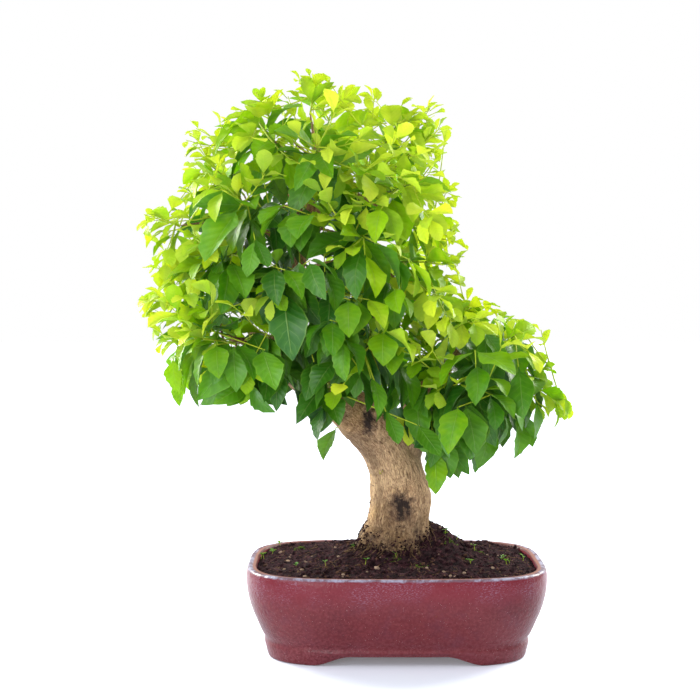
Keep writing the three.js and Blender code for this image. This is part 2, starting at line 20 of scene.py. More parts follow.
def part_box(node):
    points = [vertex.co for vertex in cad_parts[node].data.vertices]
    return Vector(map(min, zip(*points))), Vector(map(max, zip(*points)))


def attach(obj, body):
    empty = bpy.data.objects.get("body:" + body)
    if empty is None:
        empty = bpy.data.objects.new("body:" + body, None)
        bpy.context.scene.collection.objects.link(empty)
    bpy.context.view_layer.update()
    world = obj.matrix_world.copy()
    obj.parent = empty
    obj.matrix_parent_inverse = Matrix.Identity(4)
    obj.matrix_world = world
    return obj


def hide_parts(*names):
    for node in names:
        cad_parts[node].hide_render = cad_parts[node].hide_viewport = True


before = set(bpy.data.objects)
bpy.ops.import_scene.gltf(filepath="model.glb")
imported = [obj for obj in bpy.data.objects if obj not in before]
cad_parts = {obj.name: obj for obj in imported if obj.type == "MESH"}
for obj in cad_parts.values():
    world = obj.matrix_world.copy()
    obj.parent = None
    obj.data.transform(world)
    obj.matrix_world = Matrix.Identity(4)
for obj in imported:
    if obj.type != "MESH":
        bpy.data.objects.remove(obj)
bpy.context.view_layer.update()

MM = 0.001
UP = Vector((0, 0, 1))
pot_low, pot_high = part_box("pot")
POT_MIDDLE = Vector(((pot_low.x + pot_high.x) / 2, (pot_low.y + pot_high.y) / 2, 0))
print("nodes:", len(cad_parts), "pot middle:", [round(v / MM, 1) for v in POT_MIDDLE])


# %% [markdown]
# A few small helpers are used all through the notebook. Most numbers in it are millimetres from the middle
# of the pot's foot, so `from_pot` and `in_pot` turn them into places in the scene and back.

# %% Small helpers
def from_pot(x, y, z):
    """The place in the scene that lies x, y, z mm from the pot's middle."""
    return POT_MIDDLE + Vector((x, y, z)) * MM


def in_pot(place):
    """A place in the scene as mm from the pot's middle."""
    return (place - POT_MIDDLE) / MM


def clamped(value):
    return min(1.0, max(0.0, value))


def mesh_of(name, bm):
    """A mesh made from a bmesh, which is freed."""
    mesh = bpy.data.meshes.new(name)
    bm.to_mesh(mesh)
    bm.free()
    return mesh


def add_object(name, data):
    """An object at the origin, linked to the scene."""
    obj = bpy.data.objects.new(name, data)
    bpy.context.scene.collection.objects.link(obj)
    return obj


def surface_tree(obj):
    """A search tree for an object's surface."""
    return BVHTree.FromObject(obj, bpy.context.evaluated_depsgraph_get())


def tell(*pieces):
    print("faces:", {piece.name: len(piece.data.polygons) for piece in pieces})


print("pot in mm:", [round(v) for v in in_pot(pot_low)], "to", [round(v) for v in in_pot(pot_high)])


# %% [markdown]
# ## Camera and light
# The tree was photographed from the height of its lower leaves, against a lit white sheet. A camera set at
# the same spot gives the same overlaps. `seen_at` turns a place in the picture into a place in the scene,
# and that is how marks on the front of the tree are found later. The picture is 700 by 700 points.

# %% Camera
PICTURE = 700
FOCAL_POINTS = 1497
SENSOR = 36
NEAREST_SEEN = 50 * MM
CAMERA_AT = from_pot(-39.9, -1300, 322)
CAMERA_DIP = radians(2.8)
FORWARD = Vector((0, cos(CAMERA_DIP), -sin(CAMERA_DIP)))
UPWARD = Vector((0, sin(CAMERA_DIP), cos(CAMERA_DIP)))

camera = add_object("camera", bpy.data.cameras.new("camera"))
camera.data.sensor_width = SENSOR
camera.data.lens = SENSOR * FOCAL_POINTS / PICTURE
camera.data.clip_start = NEAREST_SEEN
camera.location = CAMERA_AT
camera.rotation_euler = (pi / 2 - CAMERA_DIP, 0, 0)
bpy.context.scene.camera = camera


def sight_line(px, py):
    """The direction from the camera through a point of the picture."""
    right = (px - PICTURE / 2) / FOCAL_POINTS
    down = (py - PICTURE / 2) / FOCAL_POINTS
    return (FORWARD + Vector((1, 0, 0)) * right - UPWARD * down).normalized()


def seen_at(px, py, depth):
    """The place on the plane y = depth (mm from the pot's middle) that shows at a point of the picture."""
    way = sight_line(px, py)
    return CAMERA_AT + way * ((POT_MIDDLE.y + depth * MM - CAMERA_AT.y) / way.y)


def picture_point(place):
    """Where a place in the scene shows in the picture."""
    offset = Vector(place) - CAMERA_AT
    away = offset.dot(FORWARD)
    right, up = offset.x / away * FOCAL_POINTS, offset.dot(UPWARD) / away * FOCAL_POINTS
    return PICTURE / 2 + right, PICTURE / 2 - up


print("camera lens:", round(camera.data.lens, 1), "mm")


# %% [markdown]
# The light is what a white studio gives. A bright sheet stands all round, which is the world. A large soft
# lamp hangs high on the left, one above, and a lower one in front puts the pale sheen on the pot. Two lamps
# behind the crown shine through the thin young leaves and make them glow. The sheet looks pure white, but
# it lights the tree with about two thirds of that, because a real sheet stands only behind the tree.

# %% Light
SHEET_WHITE = (1.0, 1.0, 1.0, 1)
SEEN_STRENGTH = 1.0
LIGHTING_STRENGTH = 0.62
world = bpy.data.worlds.new("studio")
world.use_nodes = True
sheet = world.node_tree
lighting = sheet.nodes["Background"]
lighting.inputs["Color"].default_value = SHEET_WHITE
lighting.inputs["Strength"].default_value = LIGHTING_STRENGTH
seen = sheet.nodes.new("ShaderNodeBackground")
seen.inputs["Color"].default_value = SHEET_WHITE
seen.inputs["Strength"].default_value = SEEN_STRENGTH
either = sheet.nodes.new("ShaderNodeMixShader")
sheet.links.new(sheet.nodes.new("ShaderNodeLightPath").outputs["Is Camera Ray"], either.inputs["Fac"])
sheet.links.new(lighting.outputs["Background"], either.inputs[1])
sheet.links.new(seen.outputs["Background"], either.inputs[2])
sheet.links.new(either.outputs["Shader"], sheet.nodes["World Output"].inputs["Surface"])
bpy.context.scene.world = world
bpy.context.scene.view_settings.view_transform = "Standard"


def add_lamp(name, place, aim, size, power, colour=(1, 1, 1)):
    """A square soft lamp at a place, turned to its aim. Both are in mm from the pot's middle."""
    lamp = add_object(name, bpy.data.lights.new(name, "AREA"))
    lamp.data.size = size * MM
    lamp.data.energy = power
    lamp.data.color = colour
    lamp.location = from_pot(*place)
    way = (Vector(aim) - Vector(place)).normalized()
    lamp.rotation_euler = way.to_track_quat("-Z", "Y").to_euler()


WARM_WHITE = (1, 1, 0.92)
COOL_WHITE = (0.93, 0.95, 1.0)
add_lamp("lamp_left", (-900, -900, 900), (-20, 0, 150), 700, 8)
add_lamp("lamp_front", (-560, -1500, 430), (-30, 0, 120), 420, 8, COOL_WHITE)
add_lamp("lamp_top", (100, -300, 1500), (-40, 0, 250), 900, 6)
add_lamp("lamp_behind_left", (-900, 700, 700), (-80, 0, 300), 600, 29, WARM_WHITE)
add_lamp("lamp_behind_right", (900, 700, 800), (0, 0, 300), 600, 29, WARM_WHITE)
print("lamps:", len(bpy.data.lights))


# %% [markdown]
# ## Mixing materials
# A finish is a small network of nodes. `Finish` keeps the calls short: `place` is the position on the
# object in metres, `cloud` is smooth noise, `blend` mixes two colours, and `relief` turns a height into a
# bump. Numbers that are the same all over a surface are set straight on the shader.

# %% A helper for node materials
class Finish:
    """One material, with short names for the nodes that it is mixed from."""

    def __init__(self, name):
        self.material = bpy.data.materials.new(name)
        self.material.use_nodes = True
        self.tree = self.material.node_tree
        self.surface = self.tree.nodes["Principled BSDF"]
        self.output = self.tree.nodes["Material Output"]

    def node(self, kind, inputs, output, **settings):
        """Makes a node, sets it up, feeds its inputs and returns one of its outputs."""
        made = self.tree.nodes.new("ShaderNode" + kind)
        for key, value in settings.items():
            setattr(made, key, value)
        for key, source in inputs.items():
            self.feed(source, made.inputs[key])
        return made.outputs[output]

    def feed(self, source, socket):
        """Links a socket, or sets a plain value, on an input."""
        if isinstance(source, bpy.types.NodeSocket):
            self.tree.links.new(source, socket)
        else:
            socket.default_value = source

    def place(self, scale=None):
        spot = self.node("TexCoord", {}, "Object")
        return self.stretch(spot, scale) if scale else spot

    def stretch(self, vector, scale):
        return self.node("Mapping", {"Vector": vector, "Scale": scale}, "Vector")

    def attribute(self, name, output="Fac"):
        return self.node("Attribute", {}, output, attribute_name=name)

    def cloud(self, vector, scale, detail=3, roughness=0.55, distortion=0.0):
        look = {"Scale": scale, "Detail": detail, "Roughness": roughness, "Distortion": distortion}
        return self.node("TexNoise", {"Vector": vector, **look}, "Fac")

    def cells(self, vector, scale):
        return self.node("TexVoronoi", {"Vector": vector, "Scale": scale}, "Distance")

    def math(self, operation, a, b=0.0, clamp=False):
        return self.node("Math", {0: a, 1: b}, "Value", operation=operation, use_clamp=clamp)

    def times(self, a, b):
        return self.math("MULTIPLY", a, b)

    def plus(self, a, b, clamp=False):
        return self.math("ADD", a, b, clamp)

    def minus(self, a, b):
        return self.math("SUBTRACT", a, b)

    def between(self, value, low, high, start=0.0, end=1.0):
        """A value from low to high becomes start to end, smoothly and clamped."""
        limits = {"From Min": low, "From Max": high, "To Min": start, "To Max": end}
        return self.node("MapRange", {"Value": value, **limits}, "Result", interpolation_type="SMOOTHSTEP")

    def colours(self, value, stops):
        """A colour for each value, from a list of (value, colour) stops."""
        ramp = self.tree.nodes.new("ShaderNodeValToRGB")
        self.feed(value, ramp.inputs["Fac"])
        elements = ramp.color_ramp.elements
        while len(elements) < len(stops):
            elements.new(1.0)
        for element, (position, colour) in zip(elements, stops):
            element.position = position
            element.color = (*colour, 1)
        return ramp.outputs["Color"]

    def blend(self, share, a, b, mode="MIX"):
        a, b = (side if isinstance(side, bpy.types.NodeSocket) else (*side, 1) for side in (a, b))
        sides = {"Factor": share, "A": a, "B": b}
        return self.node("Mix", sides, "Result", data_type="RGBA", blend_type=mode)

    def axis(self, vector, name):
        return self.node("SeparateXYZ", {"Vector": vector}, name)

    def relief(self, height, distance, strength):
        return self.node("Bump", {"Strength": strength, "Distance": distance, "Height": height}, "Normal")

    def paint(self, **inputs):
        """Sets or links inputs of the main shader, named with underscores for spaces."""
        for key, value in inputs.items():
            socket = self.surface.inputs[key.replace("_", " ")]
            plain_colour = isinstance(value, tuple) and len(value) == 3
            self.feed((*value, 1) if plain_colour else value, socket)


# %% [markdown]
# ## The floor
# The pot stands on the same white paper. It is lit a little from itself, the more the further out, so that
# it joins the white behind without an edge. The floor is only there for the picture.

# %% Floor
FLOOR_REACH = 6


def make_floor():
    """A pale sheet of paper, lit well enough to come out white away from the pot's own shadow."""
    bm = bmesh.new()
    bmesh.ops.create_grid(bm, x_segments=1, y_segments=1, size=FLOOR_REACH)
    floor = add_object("floor", mesh_of("floor", bm))
    finish = Finish("white_paper")
    finish.paint(Base_Color=(0.72, 0.77, 0.90), Roughness=0.9, Specular_IOR_Level=0.1)
    away = finish.node("VectorMath", {0: finish.place()}, "Value", operation="LENGTH")
    glow = finish.between(away, 0.25, 1.6, 0.15, 0.85)
    finish.paint(Emission_Color=(1.0, 1.0, 1.0), Emission_Strength=glow)
    floor.data.materials.append(finish.material)


make_floor()


# %% [markdown]
# ## From a mesh to a piece
# Each piece is a plain mesh whose object stays at the origin, as the CAD nodes are. `register` links a
# finished mesh into the scene: it rides on the tree's only body, takes the finishes that it is given, and
# hides the CAD nodes that it stands for.

# %% Registering a piece
MERGE_REACH = 0.002 * MM


def register(name, mesh, materials, replaces=()):
    """Links a mesh as a piece of the tree."""
    for material in materials:
        mesh.materials.append(material)
    piece = add_object(name, mesh)
    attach(piece, "root")
    if replaces:
        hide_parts(*replaces)
    return piece


def merged_copy(node):
    """A bmesh of a CAD node with its loose triangles joined. The node itself is left alone."""
    bm = bmesh.new()
    bm.from_mesh(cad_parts[node].data)
    bmesh.ops.remove_doubles(bm, verts=bm.verts, dist=MERGE_REACH)
    bm.verts.index_update()
    return bm


def baked(name, obj):
    """The mesh that an object has after its modifiers. The object is then removed."""
    depsgraph = bpy.context.evaluated_depsgraph_get()
    mesh = bpy.data.meshes.new_from_object(obj.evaluated_get(depsgraph))
    mesh.name = name
    bpy.data.objects.remove(obj)
    return mesh


# %% Rings of a closed shape
def of_kind(parts, kind):
    return [part for part in parts if isinstance(part, kind)]


def next_ring(bm, edges):
    """Extrudes a ring of edges. Returns the new ring's edges and vertices."""
    grown = bmesh.ops.extrude_edge_only(bm, edges=edges)["geom"]
    return of_kind(grown, bmesh.types.BMEdge), of_kind(grown, bmesh.types.BMVert)


def close_up(bm, edges, place=(0, 0, 0)):
    """Closes the last ring with a face, moves the shape to its place and turns its faces outward."""
    bmesh.ops.contextual_create(bm, geom=edges)
    bmesh.ops.translate(bm, verts=bm.verts, vec=place)
    bmesh.ops.recalc_face_normals(bm, faces=bm.faces)
    for face in bm.faces:
        face.smooth = True
    return bm


# %% [markdown]
# The tree has many small things of a kind: crumbs, threads, stems and leaves. Each kind is drawn once as a
# small pattern mesh. A `Bunch` gathers copies of such patterns into one mesh, and gives every copy its own
# points, so many leaves of different bends are as quick to make as one.

# %% Gathering many copies
def coordinates(mesh):
    points = np.empty(len(mesh.vertices) * 3)
    mesh.vertices.foreach_get("co", points)
    return points.reshape(-1, 3)


def add_attribute(mesh, name, kind, field, values):
    layer = mesh.attributes.new(name, kind, "POINT")
    layer.data.foreach_set(field, np.asarray(values, dtype=np.float32).ravel())


class Bunch:
    """Copies of pattern meshes in one mesh. Marks are numbers that every point of a copy carries."""

    def __init__(self):
        self.bm = bmesh.new()
        self.points = []
        self.marks = []

    def add(self, pattern, points, **marks):
        self.bm.from_mesh(pattern)
        self.points.append(points)
        self.marks.append(marks)

    def mesh(self, name):
        mesh = mesh_of(name, self.bm)
        mesh.vertices.foreach_set("co", np.concatenate(self.points).ravel())
        for mark in self.marks[0]:
            values = [np.full(len(points), marks[mark]) for points, marks in zip(self.points, self.marks)]
            add_attribute(mesh, mark, "FLOAT", "value", np.concatenate(values))
        mesh.update()
        return mesh


# %% [markdown]
# ## The pot
# A bonsai pot like this is pressed into a plaster mould, so its corners are soft, its belly swells, and
# its foot band is cut into four feet. Its plan is a superellipse, between an oval and a rectangle. A
# lathe can't turn that shape. It is drawn as one ring of points, and the ring is extruded from station to
# station, out over the feet, up the wall, round the lip and down inside.

# %% The pot's plan and profile
SQUARENESS = 3.7
PLAN_POINTS = 200
HALF_WIDTH = (pot_high.x - pot_low.x) / 2
HALF_DEPTH = (pot_high.y - pot_low.y) / 2
ARCH_RISE = 8 * MM
LONG_ARCH = (40 * MM, 72 * MM)
SHORT_ARCH = (16 * MM, 46 * MM)

# Stations from the hollow underneath to the floor inside, as (inset, height), in mm. Those of the foot band
# add their share of the arch.
POT_STATIONS = [
    (32, 9.5), (31, 9.2, 0.1), (30.6, 1.2, 0.85), (29.6, 0.2, 1), (24, 0, 1), (18.9, 0.1, 1),
    (17.6, 0.7, 0.98), (17.0, 2.2, 0.88), (16.3, 6, 0.55), (15.6, 9.2, 0.28), (15.3, 11.2, 0.08),
    (15.5, 12.6), (16.0, 14.0), (16.05, 15.4), (15.5, 16.8), (14.3, 18.6), (12.8, 21.2),
    (11.2, 24.8), (9.6, 28.6), (7.4, 33.8),
    (5.2, 39.2), (3.4, 44.6), (2.0, 50), (1.0, 55), (0.35, 60), (0.05, 65),
    (0.1, 69), (0.45, 72), (0.95, 74), (1.7, 75.3), (2.8, 75.95), (4.0, 75.9),
    (5.2, 75.4), (6.3, 75.35), (7.2, 75.7), (8.0, 75.4), (8.5, 74.4), (8.7, 71),
    (9.2, 60), (11, 48), (13.8, 38), (17.4, 30), (21.4, 24), (24.6, 20), (28, 18),
]


def plan_radius(angle, inset=0.0):
    """The distance from the pot's middle to its outline in one direction."""
    x = abs(cos(angle)) / (HALF_WIDTH - inset)
    y = abs(sin(angle)) / (HALF_DEPTH - inset)
    return (x**SQUARENESS + y**SQUARENESS) ** (-1 / SQUARENESS)


def smooth_step(value, low, high):
    t = clamped((value - low) / (high - low))
    return t * t * (3 - 2 * t)


def arch_height(x, y):
    """How far the foot band is cut away above the ground, measured from the pot's middle."""
    long_share = 1 - smooth_step(abs(x), *LONG_ARCH)
    short_share = 1 - smooth_step(abs(y), *SHORT_ARCH)
    return ARCH_RISE * min(1.0, long_share + short_share)


print("pot half-width and half-depth in mm:", round(HALF_WIDTH / MM), round(HALF_DEPTH / MM))


# %% The pot's wall
def set_station(ring, inset, height, arch_share=0):
    """Sends a ring of vertices to one station of the profile."""
    for vert in ring:
        angle = atan2(vert.co.y, vert.co.x)
        radius = plan_radius(angle, inset * MM)
        x, y = radius * cos(angle), radius * sin(angle)
        vert.co = (x, y, height * MM + arch_share * arch_height(x, y))


def build_pot():
    """The pot's closed wall, from ring to ring, still without its drain holes."""
    bm = bmesh.new()
    ring = bmesh.ops.create_circle(bm, segments=PLAN_POINTS, radius=1)["verts"]
    edges = bm.edges[:]
    set_station(ring, *POT_STATIONS[0])
    bmesh.ops.contextual_create(bm, geom=edges)
    for station in POT_STATIONS[1:]:
        edges, ring = next_ring(bm, edges)
        set_station(ring, *station)
    return close_up(bm, edges, POT_MIDDLE)


# %% Drain holes
DRAIN_X = 62
DRAIN_RADIUS = 9
DRILL_LENGTH = 17
DRILL_MIDDLE = 13.5
DRILL_SIDES = 32


def drill(obj, x):
    """Cuts one round hole through the pot's floor, and returns the cutting tool."""
    bm = bmesh.new()
    place = Matrix.Translation(from_pot(x, 0, DRILL_MIDDLE))
    radius = DRAIN_RADIUS * MM
    size = {"radius1": radius, "radius2": radius, "depth": DRILL_LENGTH * MM}
    bmesh.ops.create_cone(bm, cap_ends=True, segments=DRILL_SIDES, matrix=place, **size)
    bit = add_object("drill", mesh_of("drill", bm))
    cut = obj.modifiers.new("hole", "BOOLEAN")
    cut.operation = "DIFFERENCE"
    cut.object = bit
    return bit


def pot_mesh():
    pot = add_object("pot_blank", mesh_of("pot_blank", build_pot()))
    bits = [drill(pot, x) for x in (-DRAIN_X, DRAIN_X)]
    mesh = baked("glazed_pot", pot)
    for bit in bits:
        bpy.data.objects.remove(bit)
    mesh.shade_smooth()
    spots = coordinates(mesh) - np.array(POT_MIDDLE)
    insets = [plan_radius(atan2(y, x)) - hypot(x, y) for x, y, _ in spots]
    add_attribute(mesh, "inset", "FLOAT", "value", np.array(insets) / MM)
    return mesh


# %% [markdown]
# The glaze is a copper red that shifts from oxblood to plum, with an orange-peel skin and pin-prick pale
# specks. It runs thin over every edge, where it turns a pale lavender on the outer lip and shows brown
# clay on the inner one; the lavender also paints the lip's highlight. A pale lavender sheen in fine streaks
# on the shoulder is painted reflection, and the glaze is paler towards the foot. So colour follows height
# and the distance in from the rim as well as noise. A clear coat gives the wet shine.

# %% The glaze
def glaze():
    finish = Finish("oxblood_glaze")
    spot = finish.place()
    level = finish.axis(spot, "Z")
    broad = finish.cloud(spot, 16, 3, 0.6)
    fine = finish.cloud(spot, 420, 3, 0.65)
    body = finish.colours(broad, [
        (0.25, (0.068, 0.009, 0.014)), (0.45, (0.104, 0.012, 0.016)), (0.60, (0.122, 0.015, 0.019)),
        (0.78, (0.094, 0.015, 0.023)),
    ])
    mottled = finish.blend(finish.between(fine, 0.35, 0.75, 0, 0.6), body, (0.180, 0.034, 0.040))
    plum = finish.between(finish.cloud(spot, 60, 4, 0.7), 0.45, 0.8, 0, 0.35)
    mottled = finish.blend(plum, mottled, (0.100, 0.028, 0.048))
    shoulder = finish.between(level, 0.046, 0.068)
    mottled = finish.blend(finish.times(shoulder, 0.55), mottled, (0.165, 0.009, 0.021))
    # Painted reflection: a pale lavender sheen in fine streaks on the shoulder.
    threads = finish.cloud(finish.place((1, 1, 2.6)), 520, 3, 0.7)
    painted_sheen = finish.times(shoulder, finish.between(threads, 0.48, 0.66))
    painted_sheen = finish.times(painted_sheen, finish.between(finish.cloud(spot, 26, 2), 0.42, 0.62))
    mottled = finish.blend(finish.times(painted_sheen, 0.26), mottled, (0.36, 0.28, 0.42))
    # Paler and pinker towards the foot.
    paler_foot = finish.times(finish.between(level, 0.010, 0.030, 0.4, 0), finish.between(fine, 0.3, 0.7))
    mottled = finish.blend(paler_foot, mottled, (0.20, 0.048, 0.060))
    specks = finish.between(finish.cells(spot, 700), 0.04, 0.13, 1, 0)
    sparse = finish.between(finish.cloud(spot, 260, 1), 0.46, 0.56)
    speckled = finish.blend(finish.times(specks, sparse), mottled, (0.62, 0.42, 0.44))
    # Along the top of the lip the glaze breaks to a pale lavender in broken patches, which also paints the
    # lip's highlight.
    wander = finish.times(finish.cloud(spot, 130, 4, 0.7), 0.0024)
    edge = finish.between(finish.plus(level, wander), 0.0748, 0.0762)
    broken = finish.between(finish.cloud(spot, 70, 5, 0.75), 0.42, 0.60, 0.08, 0.95)
    lavender_break_and_highlight = finish.blend(broken, (0.12, 0.050, 0.068), (0.31, 0.31, 0.42))
    rim = finish.blend(edge, speckled, lavender_break_and_highlight)
    inset = finish.attribute("inset")
    clay = finish.times(edge, finish.between(inset, 4.6, 6.4))
    rim = finish.blend(clay, rim, (0.24, 0.095, 0.065))
    inner = finish.between(inset, 8.0, 8.6)
    rim = finish.blend(finish.times(inner, edge), rim, (0.10, 0.030, 0.030))
    finish.paint(Base_Color=rim, Roughness=0.42, Specular_IOR_Level=0.14)
    finish.paint(Coat_Weight=0.26, Coat_Roughness=0.10, Coat_IOR=1.4)
    peel = finish.plus(finish.cloud(spot, 300, 2, 0.5), finish.times(fine, 0.45))
    normal = finish.relief(peel, 0.0011, 0.55)
    finish.paint(Normal=normal, Coat_Normal=normal)
    return finish.material


GLAZE = glaze()
pot = register("glazed_pot", pot_mesh(), [GLAZE], ["pot"])
tell(pot)


# %% [markdown]
# The two drain screens lie out of sight under the soil. Their CAD solids already have the right shape,
# so they only get a woven look: fine threads pressed into dull black plastic.

# %% Drain screens
def screen_plastic():
    finish = Finish("screen_plastic")
    threads = {"Vector": finish.place(), "Scale": 160}
    weave = finish.node("TexWave", threads, "Fac", bands_direction="X")
    finish.paint(Base_Color=(0.018, 0.018, 0.020), Roughness=0.55)
    finish.paint(Normal=finish.relief(weave, 0.0003, 0.6))
    return finish.material


SCREEN_PLASTIC = screen_plastic()
for screen in ("screen_left", "screen_right"):
    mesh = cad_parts[screen].data
    mesh.materials.clear()
    mesh.materials.append(SCREEN_PLASTIC)
    print(screen, "keeps its CAD shape,", len(mesh.polygons), "faces")


# %% [markdown]
# ## The soil
# Bonsai soil is a dark crumble of bark, peat and grit, drawn up round the foot of the trunk. Its form is a
# height for every point of the plan. A square grid is pressed into the pot's outline and lifted to that
# height, with noise for the clods, and its edge is then extruded down the inside of the wall.

# %% The lie of the soil
SOIL_EDGE = 71.5
SOIL_CROWN = 3
BACK_RISE = 3.5
BACK_FROM = 40
BACK_WIDTH = 40
HEAP_HEIGHT = 31
HEAP_MIDDLE = (12, 14)
HEAP_SPREAD = (38, 33)
SIDE_HEAP = 8
SIDE_MIDDLE = (38, 2)
SIDE_SPREAD = 12
SOIL_INSET = 8.75
SOIL_CELLS = (190, 140)
# Where the edge of the bed runs down inside the wall, as (inset, height), in mm.
SOIL_SIDES = [(9.3, 60), (14, 38), (21.5, 24), (27.3, 18.4)]


def soil_level(x, y):
    """The smooth height of the soil in mm, for a place in mm from the pot's middle."""
    share = max(abs(x) * MM / HALF_WIDTH, abs(y) * MM / HALF_DEPTH)
    dx = (x - HEAP_MIDDLE[0]) / HEAP_SPREAD[0]
    dy = (y - HEAP_MIDDLE[1]) / HEAP_SPREAD[1]
    side = hypot(x - SIDE_MIDDLE[0], y - SIDE_MIDDLE[1]) / SIDE_SPREAD
    heaps = HEAP_HEIGHT * exp(-(dx * dx + dy * dy) / 2) + SIDE_HEAP * exp(-side * side / 2)
    back = BACK_RISE * clamped((y - BACK_FROM) / BACK_WIDTH)
    return SOIL_EDGE + SOIL_CROWN * (1 - share**2) + heaps + back


def clod_height(x, y):
    """Crumbly relief in mm: lumps the size of a fingertip with finer crumbs on them."""
    lumps = noise.fractal(Vector((x / 13, y / 13, 3.1)), 1.0, 2.0, 3)
    crumbs = noise.turbulence(Vector((x / 4.2, y / 4.2, 7.7)), 3, True)
    return 1.5 * lumps + 2.0 * (crumbs - 0.8)


def soil_top(x, y):
    return soil_level(x, y) + clod_height(x, y)


def build_soil():
    bm = bmesh.new()
    across, deep = SOIL_CELLS
    bmesh.ops.create_grid(bm, x_segments=across, y_segments=deep, size=1)
    for vert in bm.verts:
        x, y, _ = vert.co
        angle = atan2(y * HALF_DEPTH, x * HALF_WIDTH)
        reach = plan_radius(angle, SOIL_INSET * MM) * max(abs(x), abs(y)) / MM
        x, y = reach * cos(angle), reach * sin(angle)
        vert.co = Vector((x, y, soil_top(x, y))) * MM
    rim = [edge for edge in bm.edges if edge.is_boundary]
    for inset, height in SOIL_SIDES:
        rim, ring = next_ring(bm, rim)
        set_station(ring, inset, height)
    return close_up(bm, rim, POT_MIDDLE)


# %% Earth colours
def earth(name, stops, grain=900):
    """A matt, crumbly finish whose colour wanders between the given stops."""
    finish = Finish(name)
    spot = finish.place()
    patch = finish.cloud(spot, 160, 4, 0.75)
    grit = finish.cloud(spot, grain, 3, 0.7)
    shade = finish.plus(finish.times(patch, 0.6), finish.times(grit, 0.4))
    finish.paint(Base_Color=finish.colours(shade, stops), Roughness=0.95, Specular_IOR_Level=0.10)
    finish.paint(Normal=finish.relief(grit, 0.0012, 0.9))
    return finish.material


DARK_EARTH = earth("dark_earth", [
    (0.34, (0.002, 0.0008, 0.001)), (0.45, (0.009, 0.0030, 0.0047)), (0.55, (0.032, 0.0105, 0.0145)),
    (0.68, (0.125, 0.050, 0.054)),
])
BROWN_EARTH = earth("brown_earth", [(0.32, (0.020, 0.010, 0.007)), (0.68, (0.150, 0.075, 0.048))], 600)
PALE_GRIT = earth("pale_grit", [(0.3, (0.16, 0.10, 0.07)), (0.7, (0.42, 0.30, 0.22))], 500)
FIBRE = earth("root_fibre", [(0.3, (0.05, 0.028, 0.015)), (0.7, (0.22, 0.14, 0.07))], 700)
soil = register("soil_bed", mesh_of("soil_bed", build_soil()), [DARK_EARTH], ["soil"])
tell(soil)


# %% [markdown]
# Loose crumbs lie on the bed: mostly dark clods, a few pale stones, and short threads of bark and root.
# A crumb is an icosphere of twenty faces, squashed and turned at random, so thousands of them stay cheap.
# They are strewn by a seeded draw, so each run gives the same soil.

# %% Crumbs and stones
CRUMB_SPREAD = 0.985
# Stones that the picture shows, by where they lie in it.
STONE_SPOTS = [(281, 553), (288, 561), (302, 570), (343, 575), (444, 572), (464, 573)]
SOIL_TREE = surface_tree(soil)


def seen_on(tree, px, py):
    """The place on a surface that shows at a point of the picture, or the nearest one if none shows there."""
    return tree.ray_cast(CAMERA_AT, sight_line(px, py))[0] or tree.find_nearest(seen_at(px, py, 0))[0]


def strewn_place(draw, spread=CRUMB_SPREAD):
    """A random place on the soil as x, y in mm from the pot's middle."""
    angle = draw.uniform(0, 2 * pi)
    reach = plan_radius(angle, SOIL_INSET * MM) / MM * spread * sqrt(draw.random())
    return reach * cos(angle), reach * sin(angle)


bm = bmesh.new()
bmesh.ops.create_icosphere(bm, subdivisions=1, radius=1)
CRUMB = mesh_of("crumb", bm)
CRUMB_POINTS = coordinates(CRUMB)


def lump(draw, centre, size):
    """The points of one irregular lump: the icosphere stretched, turned, and its corners pulled about."""
    axis = Vector((draw.random() - 0.5, draw.random() - 0.5, 1))
    turn = np.array(Matrix.Rotation(draw.uniform(0, 2 * pi), 3, axis))
    stretch = (draw.uniform(0.7, 1.5), draw.uniform(0.7, 1.2), draw.uniform(0.5, 0.9))
    rough = np.array([[draw.uniform(0.72, 1.15)] for _ in CRUMB_POINTS])
    return np.array(POT_MIDDLE) + (np.array(centre) + (CRUMB_POINTS * stretch * rough) @ turn * size) * MM


def strew(name, seed, count, smallest, largest, sunk, spots=()):
    """Lumps at random places on the soil, and one of the largest size at each of the given spots."""
    bunch = Bunch()
    draw = random.Random(seed)
    marked = [in_pot(seen_on(SOIL_TREE, *spot)).xy for spot in spots]
    for i in range(count + len(marked)):
        size = smallest * (largest / smallest) ** (draw.random() ** 2) if i < count else largest
        x, y = strewn_place(draw) if i < count else marked[i - count]
        bunch.add(CRUMB, lump(draw, (x, y, soil_top(x, y) + size * (0.5 - sunk)), size))
    return bunch.mesh(name)


# %% Strew them
# Name, finish and spots, then the seed, how many, smallest and largest size in mm, and how deep each is sunk.
LOOSE = [
    ("soil_crumbs", DARK_EARTH, (), (11, 3000, 0.6, 2.9, 0.6)),
    ("pale_stones", PALE_GRIT, STONE_SPOTS, (12, 70, 0.7, 2.3, 0.45)),
    ("bark_chips", BROWN_EARTH, (), (14, 520, 0.6, 2.2, 0.5)),
]
STREWN = {}
for name, finish, spots, sizes in LOOSE:
    STREWN[name] = register(name, strew(name, *sizes, spots), [finish])
STREWN["pale_stones"].data.shade_smooth()
tell(*STREWN.values())


# %% [markdown]
# Threads, roots and green stems are thin tubes. The pattern is a circle that is extruded ring by ring, and
# each copy is laid along its own line of places, one place for each ring.

# %% Thin tubes
def tube_pattern(sides, rings):
    """A closed tube of radius 1 with its rings at z = 0, 1, 2 and so on."""
    bm = bmesh.new()
    bmesh.ops.create_circle(bm, cap_ends=True, segments=sides, radius=1)
    edges = bm.edges[:]
    for _ in range(rings - 1):
        edges, ring = next_ring(bm, edges)
        bmesh.ops.translate(bm, verts=ring, vec=UP)
    return mesh_of(f"tube_{sides}_{rings}", close_up(bm, edges))


TUBE_RINGS = 5
THREAD = tube_pattern(4, TUBE_RINGS)
GREEN_TUBE = tube_pattern(6, TUBE_RINGS)


